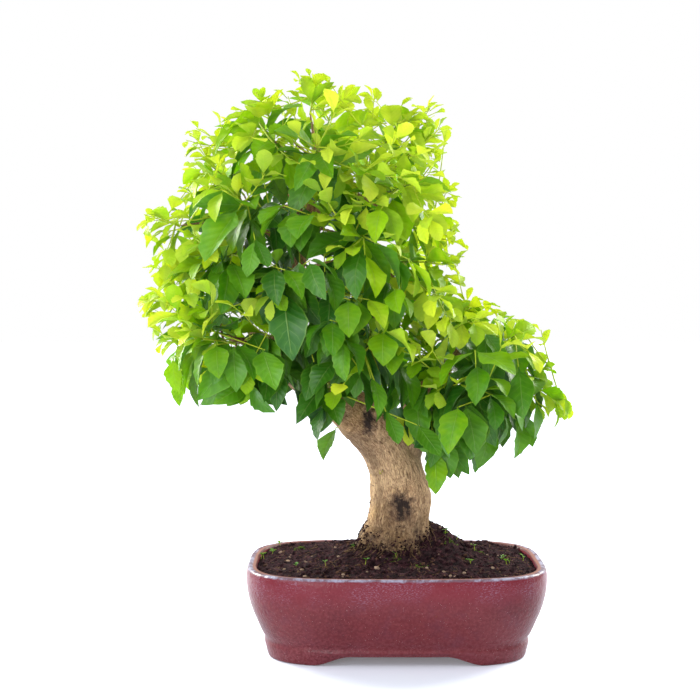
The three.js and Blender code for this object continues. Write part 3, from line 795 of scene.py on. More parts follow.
def tube_along(pattern, line, radius, tip=0.5):
    """The tube's points laid along a line of places. The radius falls to its tip share at the end."""
    x, y, z = coordinates(pattern).T
    line = np.array(line)
    ways = np.gradient(line, axis=0)
    ways /= np.linalg.norm(ways, axis=1)[:, None]
    side = np.cross(ways[0], (0.31, 0.52, 0.79))
    sides = []
    for way in ways:
        side = side - way * side.dot(way)
        side /= np.linalg.norm(side)
        sides.append(side)
    sides = np.array(sides)
    ring = np.rint(z).astype(int)
    size = radius * (1 - (1 - tip) * z / z.max())
    return line[ring] + sides[ring] * (x * size)[:, None] + np.cross(ways, sides)[ring] * (y * size)[:, None]


# %% Threads of bark and root
def wandering(draw, start, way, length, wobble, follow=None):
    """Places of a thread that wanders off from a start. follow(x, y) keeps it on the soil."""
    line = [start.copy()]
    steps = TUBE_RINGS - 1
    for _ in range(steps):
        way = (way + Vector([draw.uniform(-wobble, wobble) for _ in range(3)])).normalized()
        point = line[-1] + way * (length / steps)
        if follow:
            x, y = in_pot(point).xy
            point.z = (follow(x, y) + draw.uniform(0.1, 0.9)) * MM
        line.append(point)
    return line


SOIL_THREADS = 210


def soil_threads():
    bunch = Bunch()
    draw = random.Random(13)
    for _ in range(SOIL_THREADS):
        x, y = strewn_place(draw, 0.93)
        start = from_pot(x, y, soil_top(x, y) + 0.4)
        angle = draw.uniform(0, 2 * pi)
        way = Vector((cos(angle), sin(angle), 0))
        line = wandering(draw, start, way, draw.uniform(3, 12) * MM, 0.5, soil_top)
        bunch.add(THREAD, tube_along(THREAD, line, draw.uniform(0.12, 0.34) * MM))
    return bunch.mesh("bark_threads")


threads = register("bark_threads", soil_threads(), [FIBRE])
tell(threads)


# %% [markdown]
# ## The wood
# The trunk and its boughs are one grown piece. The CAD solid has their true course and girth but flat
# faces, so a copy of it is wrapped in a fine voxel skin and smoothed. Bark ridges then run along each
# limb. For that every point of the skin is given grain coordinates: two across the limb and one along it,
# measured from the limb's own centre line. Noise that is stretched along the third gives long fissures
# that follow every bend, and the same coordinates are kept on the mesh for the colours.

# %% Centre lines of the trunk and the right limb
# Stations as x, y, z and radius, in mm from the pot's middle.
TRUNK_LINE = [
    (1, 0, 50, 31), (1, 0, 70, 32), (2, 0, 86, 29.5), (4, 0, 104, 26.5), (4, 0, 128, 25.5), (1, 0, 154, 23.5),
    (-8, 0, 178, 22), (-24, -1, 197, 20), (-44, -2, 211, 17), (-66, -2, 222, 13), (-86, 0, 232, 9.5),
    (-100, 2, 248, 8), (-103, 3, 268, 7.5), (-97, 3, 294, 7), (-86, 2, 324, 6.4), (-77, 0, 362, 5.4),
    (-72, -2, 404, 4.2), (-70, -2, 436, 2.6),
]
RIGHT_LINE = [
    (6, 0, 158, 15), (14, 0, 190, 15), (19, 2, 208, 12.5), (28, 3, 228, 10), (45, 3, 246, 8), (68, 2, 256, 6),
    (95, 0, 258, 4.2), (116, 0, 251, 2.6),
]
VOXEL = 1.25 * MM
# How many radii from its centre line a point still belongs to a limb.
LIMB_REACH = 1.9
EVENING_ROUNDS = 14


# %% Grain coordinates
def line_frames(stations):
    """Centres, radii, running lengths and cross-section directions along one limb, as arrays in metres."""
    table = np.array(stations) * MM
    centres = table[:, :3] + np.array(POT_MIDDLE)
    steps = np.linalg.norm(np.diff(centres, axis=0), axis=1)
    along = np.concatenate([[0], np.cumsum(steps)]) + centres[0, 2]
    side = np.array([0.0, 1.0, 0.0])
    sides = []
    for i in range(len(centres)):
        way = centres[min(i + 1, len(centres) - 1)] - centres[max(i - 1, 0)]
        way /= np.linalg.norm(way)
        side = side - way * side.dot(way)
        side /= np.linalg.norm(side)
        sides.append((side, np.cross(way, side)))
    return centres, table[:, 3], along, np.array(sides)


def grain_of(points):
    """For each point: grain coordinates (across, across, along) and the limb's radius there."""
    best = np.full(len(points), np.inf)
    grain = np.zeros((len(points), 3))
    girth = np.zeros(len(points))
    for centres, radii, along, sides in (line_frames(TRUNK_LINE), line_frames(RIGHT_LINE)):
        for i in range(len(centres) - 1):
            step = centres[i + 1] - centres[i]
            share = np.clip((points - centres[i]) @ step / step.dot(step), 0, 1)
            offset = points - (centres[i] + share[:, None] * step)
            radius = radii[i] + share * (radii[i + 1] - radii[i])
            distance = np.linalg.norm(offset, axis=1) / radius
            near = distance < best
            frame_here = sides[i] + share[:, None, None] * (sides[i + 1] - sides[i])
            across = np.einsum("ij,ikj->ik", offset, frame_here)
            length = along[i] + share * (along[i + 1] - along[i])
            best[near] = distance[near]
            girth[near] = radius[near]
            grain[near] = np.column_stack([across, length])[near]
    return grain, girth, best


print("stations of the limbs:", len(TRUNK_LINE), len(RIGHT_LINE))


# %% A smooth skin over the limbs
def wood_skin():
    blank = add_object("wood_blank", mesh_of("wood_blank", merged_copy("trunk")))
    skin = blank.modifiers.new("skin", "REMESH")
    skin.mode = "VOXEL"
    skin.voxel_size = VOXEL
    return baked("living_wood", blank)


def evened(mesh, points, share, rounds):
    """Moves each point towards its neighbours' middle, by its own share, to round off flat CAD faces."""
    ends = np.empty(len(mesh.edges) * 2, int)
    mesh.edges.foreach_get("vertices", ends)
    a, b = ends.reshape(-1, 2).T
    count = np.bincount(a, minlength=len(points)) + np.bincount(b, minlength=len(points))
    for _ in range(rounds):
        total = np.zeros_like(points)
        np.add.at(total, a, points[b])
        np.add.at(total, b, points[a])
        points = points + share[:, None] * (total / count[:, None] - points)
    return points


def surface_normals(mesh):
    normals = np.empty(len(mesh.vertices) * 3)
    mesh.vertex_normals.foreach_get("vector", normals)
    return normals.reshape(-1, 3)


# %% [markdown]
# Bark on this tree is a web of fine upright ridges. The relief adds them in the mesh down to about three
# millimetres, and the bump of the material carries on below that. Three healed pruning wounds show on the
# front as dark hollows with a raised lip, found on the wood by looking along the camera's line of sight.

# %% Bark relief and healed wounds
# Wounds as the point of the picture where each shows, its radii across and up, and its depth, in mm.
WOUNDS = [((401, 507), (13, 17), 3.0), ((369, 422), (7, 14), 3.2), ((338, 414), (4, 4), 1.5)]
WOUND_REACH = 12
# Swellings in the same way: the point of the picture, the reach and the height, in mm.
SWELLINGS = [((354, 434), 40, 6.5), ((422, 492), 30, 4.0), ((370, 524), 22, 3.5)]


def bark_height(grain, girth):
    """The height of the bark in mm, for grain coordinates and a limb radius in metres."""
    a, b, along = grain / MM
    size = min(1.0, girth / (20 * MM))
    ridge = noise.ridged_multi_fractal(Vector((a / 4.8, b / 4.8, along / 21)), 0.9, 2.1, 2, 1.0, 2.0)
    swell = noise.noise(Vector((a / 24, b / 24, along / 60)))
    buckle = noise.turbulence(Vector((a / 6, b / 6, along / 13)), 3, False)
    return size * (0.45 * (ridge - 1.1) + 2.2 * swell + 0.9 * (buckle - 0.5))


def wound_marks(points):
    """How deep each point lies in a wound, from 0 outside to 1 in the middle, and the relief in mm."""
    tree = surface_tree(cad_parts["trunk"])
    dark = np.zeros(len(points))
    relief = np.zeros(len(points))
    for (px, py), (wide, tall), depth in WOUNDS:
        middle = tree.ray_cast(CAMERA_AT, sight_line(px, py))[0]
        offset = (points - np.array(middle)) / MM
        across, deep, upright = (offset / (wide, WOUND_REACH, tall)).T
        distance = np.sqrt(across**2 + deep**2 + upright**2)
        near = np.flatnonzero(distance < 2)
        distance[near] += [0.45 * noise.noise(Vector(offset[i] / 4.5)) for i in near]
        hollow = np.clip(1.15 - distance, 0, 1)
        lip = np.exp(-(((distance - 1.25) / 0.22) ** 2))
        dark = np.maximum(dark, hollow)
        relief += 0.28 * depth * lip - depth * hollow**0.8
    for (px, py), reach, height in SWELLINGS:
        offset = (points - np.array(tree.ray_cast(CAMERA_AT, sight_line(px, py))[0])) / MM
        relief += height * np.exp(-(np.linalg.norm(offset, axis=1) / (0.6 * reach)) ** 2)
    return dark, relief


# %% Shape the wood
def build_wood():
    """The smoothed skin with its bark and wounds, and the marks that its colours are mixed from."""
    mesh = wood_skin()
    points = coordinates(mesh)
    grain, girth, distance = grain_of(points)
    on_limb = np.clip(LIMB_REACH - distance, 0, 1)
    softness = 0.1 + 0.5 * on_limb * np.clip(girth / (12 * MM), 0, 1)
    points = evened(mesh, points, softness, EVENING_ROUNDS)
    mesh.vertices.foreach_set("co", points.ravel())
    mesh.update()
    dark, wound_relief = wound_marks(points)
    bark = np.array([bark_height(Vector(g), r) for g, r in zip(grain, girth)])
    lift = (bark * on_limb + wound_relief) * MM
    points = points + surface_normals(mesh) * lift[:, None]
    mesh.vertices.foreach_set("co", points.ravel())
    mesh.update()
    add_attribute(mesh, "grain", "FLOAT_VECTOR", "vector", grain)
    add_attribute(mesh, "wound", "FLOAT", "value", dark)
    # How low the bark lies. The bark finish paints shade into the fissures from it.
    add_attribute(mesh, "hollow", "FLOAT", "value", np.clip(0.5 - 0.35 * bark, 0, 1))
    mesh.shade_smooth()
    return mesh


# %% Bark colours
def bark():
    finish = Finish("bark")
    spot = finish.place()
    grain = finish.attribute("grain", "Vector")
    level = finish.axis(spot, "Z")
    streak = finish.cloud(finish.stretch(grain, (1, 1, 0.26)), 960, 3, 0.62, 1.1)
    thread = finish.cloud(finish.stretch(grain, (1, 1, 0.16)), 1300, 2, 0.6, 0.6)
    patch = finish.cloud(spot, 40, 3, 0.6)
    tone = finish.plus(finish.times(streak, 0.86), finish.times(patch, 0.16))
    wood = finish.colours(tone, [
        (0.33, (0.130, 0.062, 0.034)), (0.42, (0.320, 0.184, 0.094)), (0.50, (0.490, 0.310, 0.162)),
        (0.61, (0.710, 0.480, 0.262)),
    ])
    # Painted shade: darker where the bark lies low in its fissures.
    fissure_shade = finish.between(finish.attribute("hollow"), 0.58, 1.0, 0, 0.5)
    wood = finish.blend(fissure_shade, wood, (0.090, 0.048, 0.026))
    red = finish.times(finish.between(level, 0.165, 0.235), finish.between(patch, 0.35, 0.6, 0.4, 0.9))
    wood = finish.blend(red, wood, (0.80, 0.66, 0.62), "MULTIPLY")
    olive = finish.between(finish.cloud(spot, 24, 2), 0.50, 0.66, 0, 0.45)
    wood = finish.blend(olive, wood, (0.98, 0.90, 0.60), "MULTIPLY")
    mottle = finish.cloud(spot, 210, 4, 0.75)
    stain_line = finish.plus(level, finish.times(mottle, -0.110))
    stain_line = finish.plus(stain_line, finish.times(patch, -0.030))
    stain = finish.between(stain_line, 0.010, 0.040, 0.90, 0)
    wood = finish.blend(stain, wood, (0.030, 0.013, 0.010))
    pitted = finish.cloud(spot, 420, 4, 0.8)
    scar = finish.plus(finish.attribute("wound"), finish.times(pitted, 1.6))
    wood = finish.blend(finish.between(scar, 0.85, 1.25, 0, 0.7), wood, (0.080, 0.040, 0.028))
    wood = finish.blend(finish.between(scar, 1.25, 1.65, 0, 0.92), wood, (0.016, 0.009, 0.008))
    finish.paint(Base_Color=wood, Roughness=0.82, Specular_IOR_Level=0.3)
    rough = finish.plus(streak, finish.times(thread, 0.5))
    finish.paint(Normal=finish.relief(rough, 0.0024, 1.0))
    return finish.material


BARK = bark()
wood = register("living_wood", build_wood(), [BARK], ["trunk"])
tell(wood)


# %% [markdown]
# Where the trunk meets the soil, damp crumbs cling to the bark, fine roots run out over the heap, and a
# hair-thin dead twig stands off the left flank. Each of them starts on a point of the bark itself. The
# crumbs get rarer with height, and reach highest on the left, where the bark faces up.

# %% Foot of the trunk
FOOT_MIDDLE = from_pot(4, 10, 0)
FOOT_LOW = 0.07
FOOT_HIGH = 0.15
CLINGING = 9000
ROOTS = 60
TWIG_SPOT = (374, 486)
SKIN = coordinates(wood.data)
SKIN_TREE = surface_tree(wood)
LOW_SKIN = [Vector(place) for place in SKIN[(SKIN[:, 2] > FOOT_LOW) & (SKIN[:, 2] < FOOT_HIGH)]]


def rise(place):
    """How far a place lies above the soil, in mm."""
    x, y, z = in_pot(place)
    return z - soil_top(x, y)


def clinging_crumbs():
    bunch = Bunch()
    draw = random.Random(15)
    for _ in range(CLINGING):
        place = draw.choice(LOW_SKIN)
        out = (place - FOOT_MIDDLE).xy.normalized()
        reach = 3.0 + 9 * max(0.0, noise.noise(place / (11 * MM))) + 80 * max(0.0, -out.x - 0.75)
        if rise(place) > -1 and draw.random() < exp(-max(0.0, rise(place)) / reach) - 0.04:
            bunch.add(CRUMB, lump(draw, in_pot(place), draw.uniform(0.4, 1.3)))
    return bunch.mesh("clinging_crumbs")


def surface_roots():
    bunch = Bunch()
    draw = random.Random(16)
    starts = [place for place in LOW_SKIN if 0 < rise(place) < 8]
    for _ in range(ROOTS):
        place = draw.choice(starts)
        out = Vector((*(place - FOOT_MIDDLE).xy, 0)).normalized()
        length = draw.uniform(6, 14) * (1.6 if out.x < -0.3 else 1.0) * MM
        line = wandering(draw, place, (out - UP * 0.4).normalized(), length, 0.5, soil_top)
        bunch.add(THREAD, tube_along(THREAD, line, draw.uniform(0.22, 0.6) * MM, 0.3))
    twig = wandering(draw, seen_on(SKIN_TREE, *TWIG_SPOT), Vector((-0.9, -0.2, 0.35)), 8 * MM, 0.2)
    bunch.add(THREAD, tube_along(THREAD, twig, 0.25 * MM, 0.3))
    return bunch.mesh("surface_roots")


clinging = register("clinging_crumbs", clinging_crumbs(), [DARK_EARTH])
roots = register("surface_roots", surface_roots(), [FIBRE])
tell(clinging, roots)


# %% [markdown]
# ## The leaves
# A duranta leaf is a thin pointed blade with a few teeth towards its tip and a pale midrib. About seventeen
# hundred of them make the crown, so one blade has to be cheap. A grid four squares wide is drawn out to the
# toothed outline, and a mirrored copy is welded to it round the edge. That gives a closed blade, thickest
# along the midrib, with a separate face for the pale underside.

# %% Blade patterns
# Outlines from stalk to tip, as (share of the length, half-width on the left, half-width on the right).
# Each step back in width is the notch after a tooth, and the two sides take turns.
GROWN_EDGE = [
    (0, 0.035, 0.035), (0.08, 0.055, 0.055), (0.22, 0.54, 0.50), (0.38, 0.90, 0.86), (0.50, 1.0, 0.95),
    (0.56, 0.87, 1.0), (0.66, 0.92, 0.84), (0.72, 0.71, 0.80), (0.82, 0.66, 0.55), (0.92, 0.30, 0.30),
    (1, 0, 0),
]
YOUNG_EDGE = [
    (0, 0.05, 0.05), (0.08, 0.08, 0.08), (0.24, 0.44, 0.42), (0.42, 0.80, 0.76), (0.56, 1.0, 0.92),
    (0.62, 0.86, 1.0), (0.72, 0.94, 0.84), (0.78, 0.74, 0.86), (0.87, 0.70, 0.60), (0.94, 0.32, 0.36),
    (1, 0, 0),
]
BLADE_COLUMNS = 4
WELD_REACH = 1e-4
TOO_THIN = 1e-5


def blade_pattern(name, edge):
    """A closed flat blade: x from -1 to 1, y from stalk to tip, z from -1 to 1 through its thickness."""
    bm = bmesh.new()
    bmesh.ops.create_grid(bm, x_segments=BLADE_COLUMNS, y_segments=len(edge) - 1, size=1)
    uv = bm.loops.layers.uv.new("blade")
    for vert in bm.verts:
        column, row = vert.co.x, round((vert.co.y + 1) / 2 * (len(edge) - 1))
        share, left, right = edge[row]
        for loop in vert.link_loops:
            loop[uv].uv = ((column + 1) / 2, share)
        inside = row not in (0, len(edge) - 1)
        vert.co = (column * (left if column < 0 else right), share, (1 - abs(column)) * inside)
    under = bmesh.ops.duplicate(bm, geom=bm.faces[:])["geom"]
    faces = of_kind(under, bmesh.types.BMFace)
    for vert in of_kind(under, bmesh.types.BMVert):
        vert.co.z = -vert.co.z
    bmesh.ops.reverse_faces(bm, faces=faces)
    for face in faces:
        face.material_index = 1
    bmesh.ops.remove_doubles(bm, verts=bm.verts, dist=WELD_REACH)
    bmesh.ops.dissolve_degenerate(bm, edges=bm.edges, dist=TOO_THIN)
    for face in bm.faces:
        face.smooth = True
    for edge_line in bm.edges:
        sides = {face.material_index for face in edge_line.link_faces}
        edge_line.smooth = len(sides) == 1
    bm.verts.index_update()
    triangles = [[loop.vert.index for loop in three] for three in bm.calc_loop_triangles()]
    mesh = mesh_of(name, bm)
    return {"mesh": mesh, "flat": coordinates(mesh), "triangles": triangles}


PATTERNS = {
    "grown": blade_pattern("grown_blade", GROWN_EDGE),
    "young": blade_pattern("young_blade", YOUNG_EDGE),
}
print({name: len(pattern["mesh"].polygons) for name, pattern in PATTERNS.items()}, "faces a blade")


# %% How a blade hangs
@dataclass
class Leaf:
    """Where one leaf sits and how it is bent. Lengths are in metres."""

    root: Vector
    heading: Vector
    normal: Vector
    length: float
    half_width: float
    fold: float = 0.2
    arch: float = 0.4
    sway: float = 0.0
    wave: float = 0.1
    age: float = 0.3
    shade: float = 0.5
    pattern: str = "grown"


HALF_THICKNESS = 0.19 * MM
# The share of its length from which a blade bends down.
ARCH_START = 0.4


def bent_blade(leaf):
    """The pattern's points laid along the leaf: folded at the midrib, arched, swayed and waved."""
    x, y, z = PATTERNS[leaf.pattern]["flat"].T
    heading, normal = np.array(leaf.heading), np.array(leaf.normal)
    across = np.cross(normal, heading)
    out = x * leaf.half_width
    stalk = np.clip(1 - (y - 0.09) / 0.1, 0, 1)
    down = leaf.arch * leaf.length * np.clip(y - ARCH_START, 0, 1) ** 2
    ripple = leaf.wave * leaf.half_width * np.sin(9 * y + 7 * leaf.shade) * x * x * np.sign(x)
    lift = leaf.fold * np.abs(out) - down + ripple + z * HALF_THICKNESS * (1 + 1.4 * stalk)
    drift = out + leaf.sway * leaf.length * y * y
    return (
        np.array(leaf.root)
        + np.outer(y * leaf.length, heading)
        + np.outer(drift, across)
        + np.outer(lift, normal)
    )


# %% [markdown]
# ### Reading the CAD leaves
# The CAD sprays hold plain leaves with the right place, length and tilt, and each fine leaf takes these
# from one of them. In a merged copy of a spray every leaf has one ridge point above and one below, and no
# other point meets eleven faces. The rest of the leaf follows from that pair and the nine edge points
# that they share.

# %% Leaves of a CAD spray
RIDGE_FACES = 11
EDGE_POINTS = 9
MOST_FOLD = 0.45
TIP_REACH = 0.5 * MM


def neighbours(vert):
    return {edge.other_vert(vert) for edge in vert.link_edges}


def ridge_pairs(bm):
    """Pairs of vertices above and below the middle of each leaf."""
    ridge = [vert for vert in bm.verts if len(vert.link_faces) == RIDGE_FACES]
    pairs = []
    for i, one in enumerate(ridge):
        for other in ridge[i + 1:]:
            if len(neighbours(one) & neighbours(other)) == EDGE_POINTS:
                pairs.append((one, other))
    return pairs


def in_order(verts):
    return sorted(verts, key=lambda vert: vert.index)


def leaf_of(one, other, facing):
    """A fine leaf with the place and bend of the CAD leaf round one pair of ridge points."""
    edge = in_order(neighbours(one) & neighbours(other))
    corners = in_order((neighbours(one) | neighbours(other)) - set(edge) - {one, other})
    root = sum((vert.co for vert in corners), Vector()) / len(corners)
    middle = (one.co + other.co) / 2
    normal = (one.co - other.co).normalized()
    if normal.dot(facing) < 0:
        normal.negate()
    heading = middle - root
    heading = (heading - normal * heading.dot(normal)).normalized()
    across = normal.cross(heading)
    tip = max(edge, key=lambda vert: (vert.co - root).length).co - root
    length = tip.dot(heading)
    arch = max(0.0, -tip.dot(normal)) / (length * (1 - ARCH_START) ** 2)
    widest = max(edge, key=lambda vert: abs((vert.co - root).dot(across)))
    out = abs((widest.co - root).dot(across))
    fold = max(0.0, (widest.co - middle).dot(normal) / out)
    return Leaf(root, heading, normal, length, out, fold=min(fold, MOST_FOLD), arch=arch)


# %% Stems of the CAD
@dataclass
class Stem:
    """A green stem with its leaves."""

    name: str
    base: Vector
    tip: Vector
    young: bool
    leaves: list

    @property
    def along(self):
        return (self.tip - self.base).normalized()


def read_stem(node):
    """The stem and the leaves of one CAD node."""
    bm = merged_copy(node)
    pairs = ridge_pairs(bm)
    on_leaves = {vert for pair in pairs for vert in pair}
    for one, other in pairs:
        on_leaves |= neighbours(one) & neighbours(other)
    rings = np.array([vert.co for vert in bm.verts if vert not in on_leaves])
    middle = rings.mean(axis=0)
    along = np.linalg.svd(rings - middle)[2][0]
    reach = (rings - middle) @ along
    if (reach > reach.max() - TIP_REACH).sum() > 1:
        along, reach = -along, -reach
    tip = Vector(rings[reach.argmax()])
    base = Vector(middle + along * reach.min())
    facing = Vector(along) * 0.65 + UP * 0.7
    leaves = [leaf_of(one, other, facing) for one, other in pairs]
    bm.free()
    return Stem(node, base, tip, node.startswith("shoot"), leaves)


STEMS = [read_stem(name) for name in sorted(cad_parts) if name.startswith(("spray", "shoot"))]
print("stems:", len(STEMS), "CAD leaves:", sum(len(stem.leaves) for stem in STEMS))


# %% [markdown]
# ### Leaf finishes
# Every point of a leaf carries its age, from 0 for an old dark leaf to 1 for a lime one that has just
# opened, and a shade that makes each leaf a little different. The age also holds painted light and shade:
# it rises where the crown is lit and falls in the shade over the trunk. One finish then serves the whole
# crown. The blade's own UV map places the midrib and the side veins. Light comes through a thin leaf, and
# comes through yellower than it is reflected, so the shader is mixed with a translucent one.

# %% Veins and leaf colours
OLD, FULL, FRESH, OPENING = 0.0, 0.4, 0.7, 1.0
UPPER_COLOURS = [
    (OLD, (0.026, 0.142, 0.006)), (FULL, (0.125, 0.340, 0.005)), (FRESH, (0.370, 0.570, 0.006)),
    (OPENING, (0.700, 0.790, 0.075)),
]
UNDER_COLOURS = [
    (OLD, (0.080, 0.200, 0.030)), (FULL, (0.190, 0.370, 0.030)), (FRESH, (0.380, 0.550, 0.025)),
    (OPENING, (0.560, 0.680, 0.100)),
]
THROUGH_COLOURS = [
    (OLD, (0.040, 0.190, 0.001)), (FULL, (0.200, 0.500, 0.001)), (FRESH, (0.500, 0.780, 0.002)),
    (OPENING, (0.870, 0.925, 0.080)),
]
SIDE_VEINS = 8.0
VEIN_SLANT = 3.2


def vein_marks(finish):
    """The midrib and the side veins as values from 0 to 1, from the blade's own map."""
    blade = finish.node("UVMap", {}, "UV", uv_map="blade")
    across, along = finish.axis(blade, "X"), finish.axis(blade, "Y")
    out = finish.math("ABSOLUTE", finish.minus(across, 0.5))
    midrib = finish.between(out, 0.006, 0.026, 1, 0)
    slanted = finish.minus(finish.times(along, SIDE_VEINS), finish.times(out, VEIN_SLANT))
    wave = finish.math("PINGPONG", slanted, 0.5)
    side = finish.times(finish.between(wave, 0.0, 0.085, 1, 0), finish.between(out, 0.30, 0.48, 1, 0.2))
    return midrib, side, wave, finish.between(out, 0.44, 0.495)


# %% Leaf and stem finishes
def leaf_finish(name, face_colours, gloss, vein_share):
    finish = Finish(name)
    spot = finish.place()
    midrib, side, wave, painted_rim_glow = vein_marks(finish)
    shade = finish.attribute("shade")
    wander = finish.times(finish.minus(finish.cloud(spot, 90, 2), 0.5), 0.35)
    age = finish.plus(finish.attribute("age"), wander, clamp=True)
    base = finish.colours(age, face_colours)
    tinted = finish.blend(finish.between(shade, 0, 1, 0, 0.85), base, (0.36, 0.56, 0.62), "MULTIPLY")
    veins = finish.math("MAXIMUM", midrib, finish.times(side, 0.4))
    between_veins = finish.times(finish.between(wave, 0.1, 0.45), 0.22)
    quilted = finish.blend(between_veins, tinted, (0.55, 0.72, 0.50), "MULTIPLY")
    pale = finish.blend(0.45, tinted, (0.42, 0.62, 0.16))
    colour = finish.blend(finish.times(veins, vein_share), quilted, pale)
    # Painted light: a paler lime line along the blade's edge stands for the glow of backlit rims.
    colour = finish.blend(finish.times(painted_rim_glow, 0.28), colour, (0.30, 0.52, 0.04))
    shine = finish.between(age, 0.25, 0.75, 0.46, 0.12)
    finish.paint(Base_Color=colour, Roughness=gloss, Specular_IOR_Level=shine)
    quilt = finish.minus(finish.times(wave, 0.7), finish.times(midrib, 0.8))
    finish.paint(Normal=finish.relief(quilt, 0.0007, 0.6))
    through = finish.node("BsdfTranslucent", {"Color": finish.colours(age, THROUGH_COLOURS)}, "BSDF")
    share = finish.between(age, 0.0, 1.0, 0.22, 0.50)
    sides = {"Fac": share, 1: finish.surface.outputs["BSDF"], 2: through}
    finish.feed(finish.node("MixShader", sides, "Shader"), finish.output.inputs["Surface"])
    return finish.material


def green_stem_finish():
    finish = Finish("green_stem")
    spot = finish.place()
    tone = finish.plus(finish.attribute("age"), finish.times(finish.cloud(spot, 200, 2), 0.3))
    finish.paint(Base_Color=finish.colours(tone, [
        (0.1, (0.060, 0.085, 0.020)), (0.5, (0.180, 0.270, 0.020)), (1.0, (0.480, 0.580, 0.030)),
    ]), Roughness=0.6, Specular_IOR_Level=0.2)
    finish.paint(Normal=finish.relief(finish.cloud(finish.place((1, 1, 0.3)), 900, 2), 0.0005, 0.5))
    return finish.material


LEAF_FINISHES = [
    leaf_finish("leaf_blade", UPPER_COLOURS, 0.42, 0.6),
    leaf_finish("leaf_underside", UNDER_COLOURS, 0.62, 0.6),
    green_stem_finish(),
]
print("leaf finishes:", [finish.name for finish in LEAF_FINISHES])


# %% [markdown]
# ### From a stem to a leafy spray
# A spray is one stem tube with its leaves. The leaves nearest its tip are the youngest. The crown gets its
# light from above and outside, so young growth is thickest there and the old dark leaves show between. The
# same light share makes lit leaves paler, and the leaves that hang over the trunk are made darker: painted
# light and shade in their colour.

# %% Ages of the leaves
YOUNG_LENGTH = 30 * MM
STEM_RADIUS = 0.95 * MM
STALK_RADIUS = 0.75 * MM
PETIOLE_REACH = 0.7 * MM
# The dark cores of the two leaf masses, as a middle and how far each reaches, in mm from the pot's middle.
CORES = [((-83, 0, 325), (142, 170, 170)), ((72, 0, 235), (98, 150, 80))]
# The shade under the crown in front of the trunk, painted into the leaves' colour: its middle and reach in
# the same way, and its depth.
SHADED_MIDDLE = (2, -55, 212)
SHADED_REACH = 68
SHADED_MOST = 0.5
# A leaf's age at the foot of its stem, what the way to the stem's tip adds, and what the light adds.
YOUNG_AGE = (0.52, 0.20, 0.34)
GROWN_AGE = (0.04, 0.18, 1.25)
GROWN_LIGHT = 0.42
AGE_SPREAD = 0.16


def sun_at(place):
    """How far out in the crown's light a place is, from 0 deep inside to 1 at its upper rim."""
    suns = []
    for middle, reaches in CORES:
        offset = in_pot(place) - Vector(middle)
        reach = Vector([offset[i] / reaches[i] for i in range(3)])
        suns.append(0.78 * reach.length + 0.24 * reach.z + 0.30 * abs(reach.x))
    return clamped(min(suns))


def trunk_shade(place):
    """How much light the crown takes from the leaves that hang over the trunk, to be painted onto them as
    shade.
    """
    gap = (in_pot(place) - Vector(SHADED_MIDDLE)).length / SHADED_REACH
    return SHADED_MOST * max(0.0, 1 - gap**2)


def set_age_and_light(leaf, young, share, draw):
    """Gives a leaf its age from the kind of stem, its place along it from 0 to 1, and the light there, so
    that its colour also carries painted light and the painted shade over the trunk.
    """
    middle = leaf.root + leaf.heading * leaf.length * 0.5
    # The light share and the shade over the trunk go into the age, so they are painted into the leaf's
    # colour.
    sun = sun_at(middle) - trunk_shade(middle)
    foot, on_the_way, lit = YOUNG_AGE if young else GROWN_AGE
    light = sun if young else max(0.0, sun - GROWN_LIGHT)
    leaf.age = foot + on_the_way * share + lit * light
    leaf.age = clamped(leaf.age + draw.uniform(-AGE_SPREAD, AGE_SPREAD))
    leaf.shade = draw.random()
    leaf.sway = draw.gauss(0, 0.09)
    leaf.wave = draw.uniform(0.05, 0.24)
    if leaf.length < YOUNG_LENGTH or young:
        leaf.pattern = "young"


print("light at the middles of the masses:", [sun_at(from_pot(*middle)) for middle, _ in CORES])


# %% Laying leaves and stems
STEM_TUBE = GREEN_TUBE.copy()
STEM_TUBE.polygons.foreach_set("material_index", [2] * len(STEM_TUBE.polygons))


def add_leaf(bunch, leaf):
    pattern = PATTERNS[leaf.pattern]["mesh"]
    bunch.add(pattern, bent_blade(leaf), age=leaf.age, shade=leaf.shade)


def add_stem(bunch, line, radius, age, tip=0.5):
    """A green tube, whose faces take the third finish."""
    points = tube_along(STEM_TUBE, line, radius, tip)
    bunch.add(STEM_TUBE, points, age=age, shade=0.5)
    return points


def straight_line(start, end):
    return [start.lerp(end, i / (TUBE_RINGS - 1)) for i in range(TUBE_RINGS)]


# %% [markdown]
# ### Room between the leaves
# New leaves have to find room among those that are there. `Crown` keeps a search tree for every blade and
# every stem, sorted into cubes of space, so a new blade is tried only against its near neighbours. It also
# has to stay off the wood, inside the crown's outline as the picture shows it, and inside its depth.

# %% The crown's outline and depth
CROWN_OUTLINE = [
    (301, 70), (333, 70), (346, 90), (369, 84), (380, 86), (392, 99), (433, 99), (451, 118), (449, 150),
    (441, 172), (458, 185), (463, 232), (465, 256), (461, 282), (476, 291), (500, 302), (522, 315),
    (546, 325), (541, 345), (549, 376), (561, 391), (572, 412), (556, 426), (536, 446), (520, 453),
    (494, 463), (470, 473), (448, 500), (433, 482), (425, 446), (396, 446), (380, 416), (356, 394),
    (341, 406), (336, 432), (322, 456), (311, 436), (296, 421), (288, 396), (276, 406), (256, 413),
    (245, 394), (215, 406), (200, 410), (179, 405), (169, 370), (156, 345), (145, 325), (133, 304),
    (145, 288), (150, 250), (136, 232), (150, 207), (180, 200), (184, 160), (180, 135), (190, 122),
    (212, 117), (235, 97), (253, 97), (279, 83),
]
CROWN_MIDDLE = from_pot(-38, 0, 330)
CROWN_REACH = (240, 116, 215)
# How many points of the picture a landmark leaf may stand outside the outline.
OUTLINE_SLACK = 5
OUTLINE_MIDDLE = (330, 280)


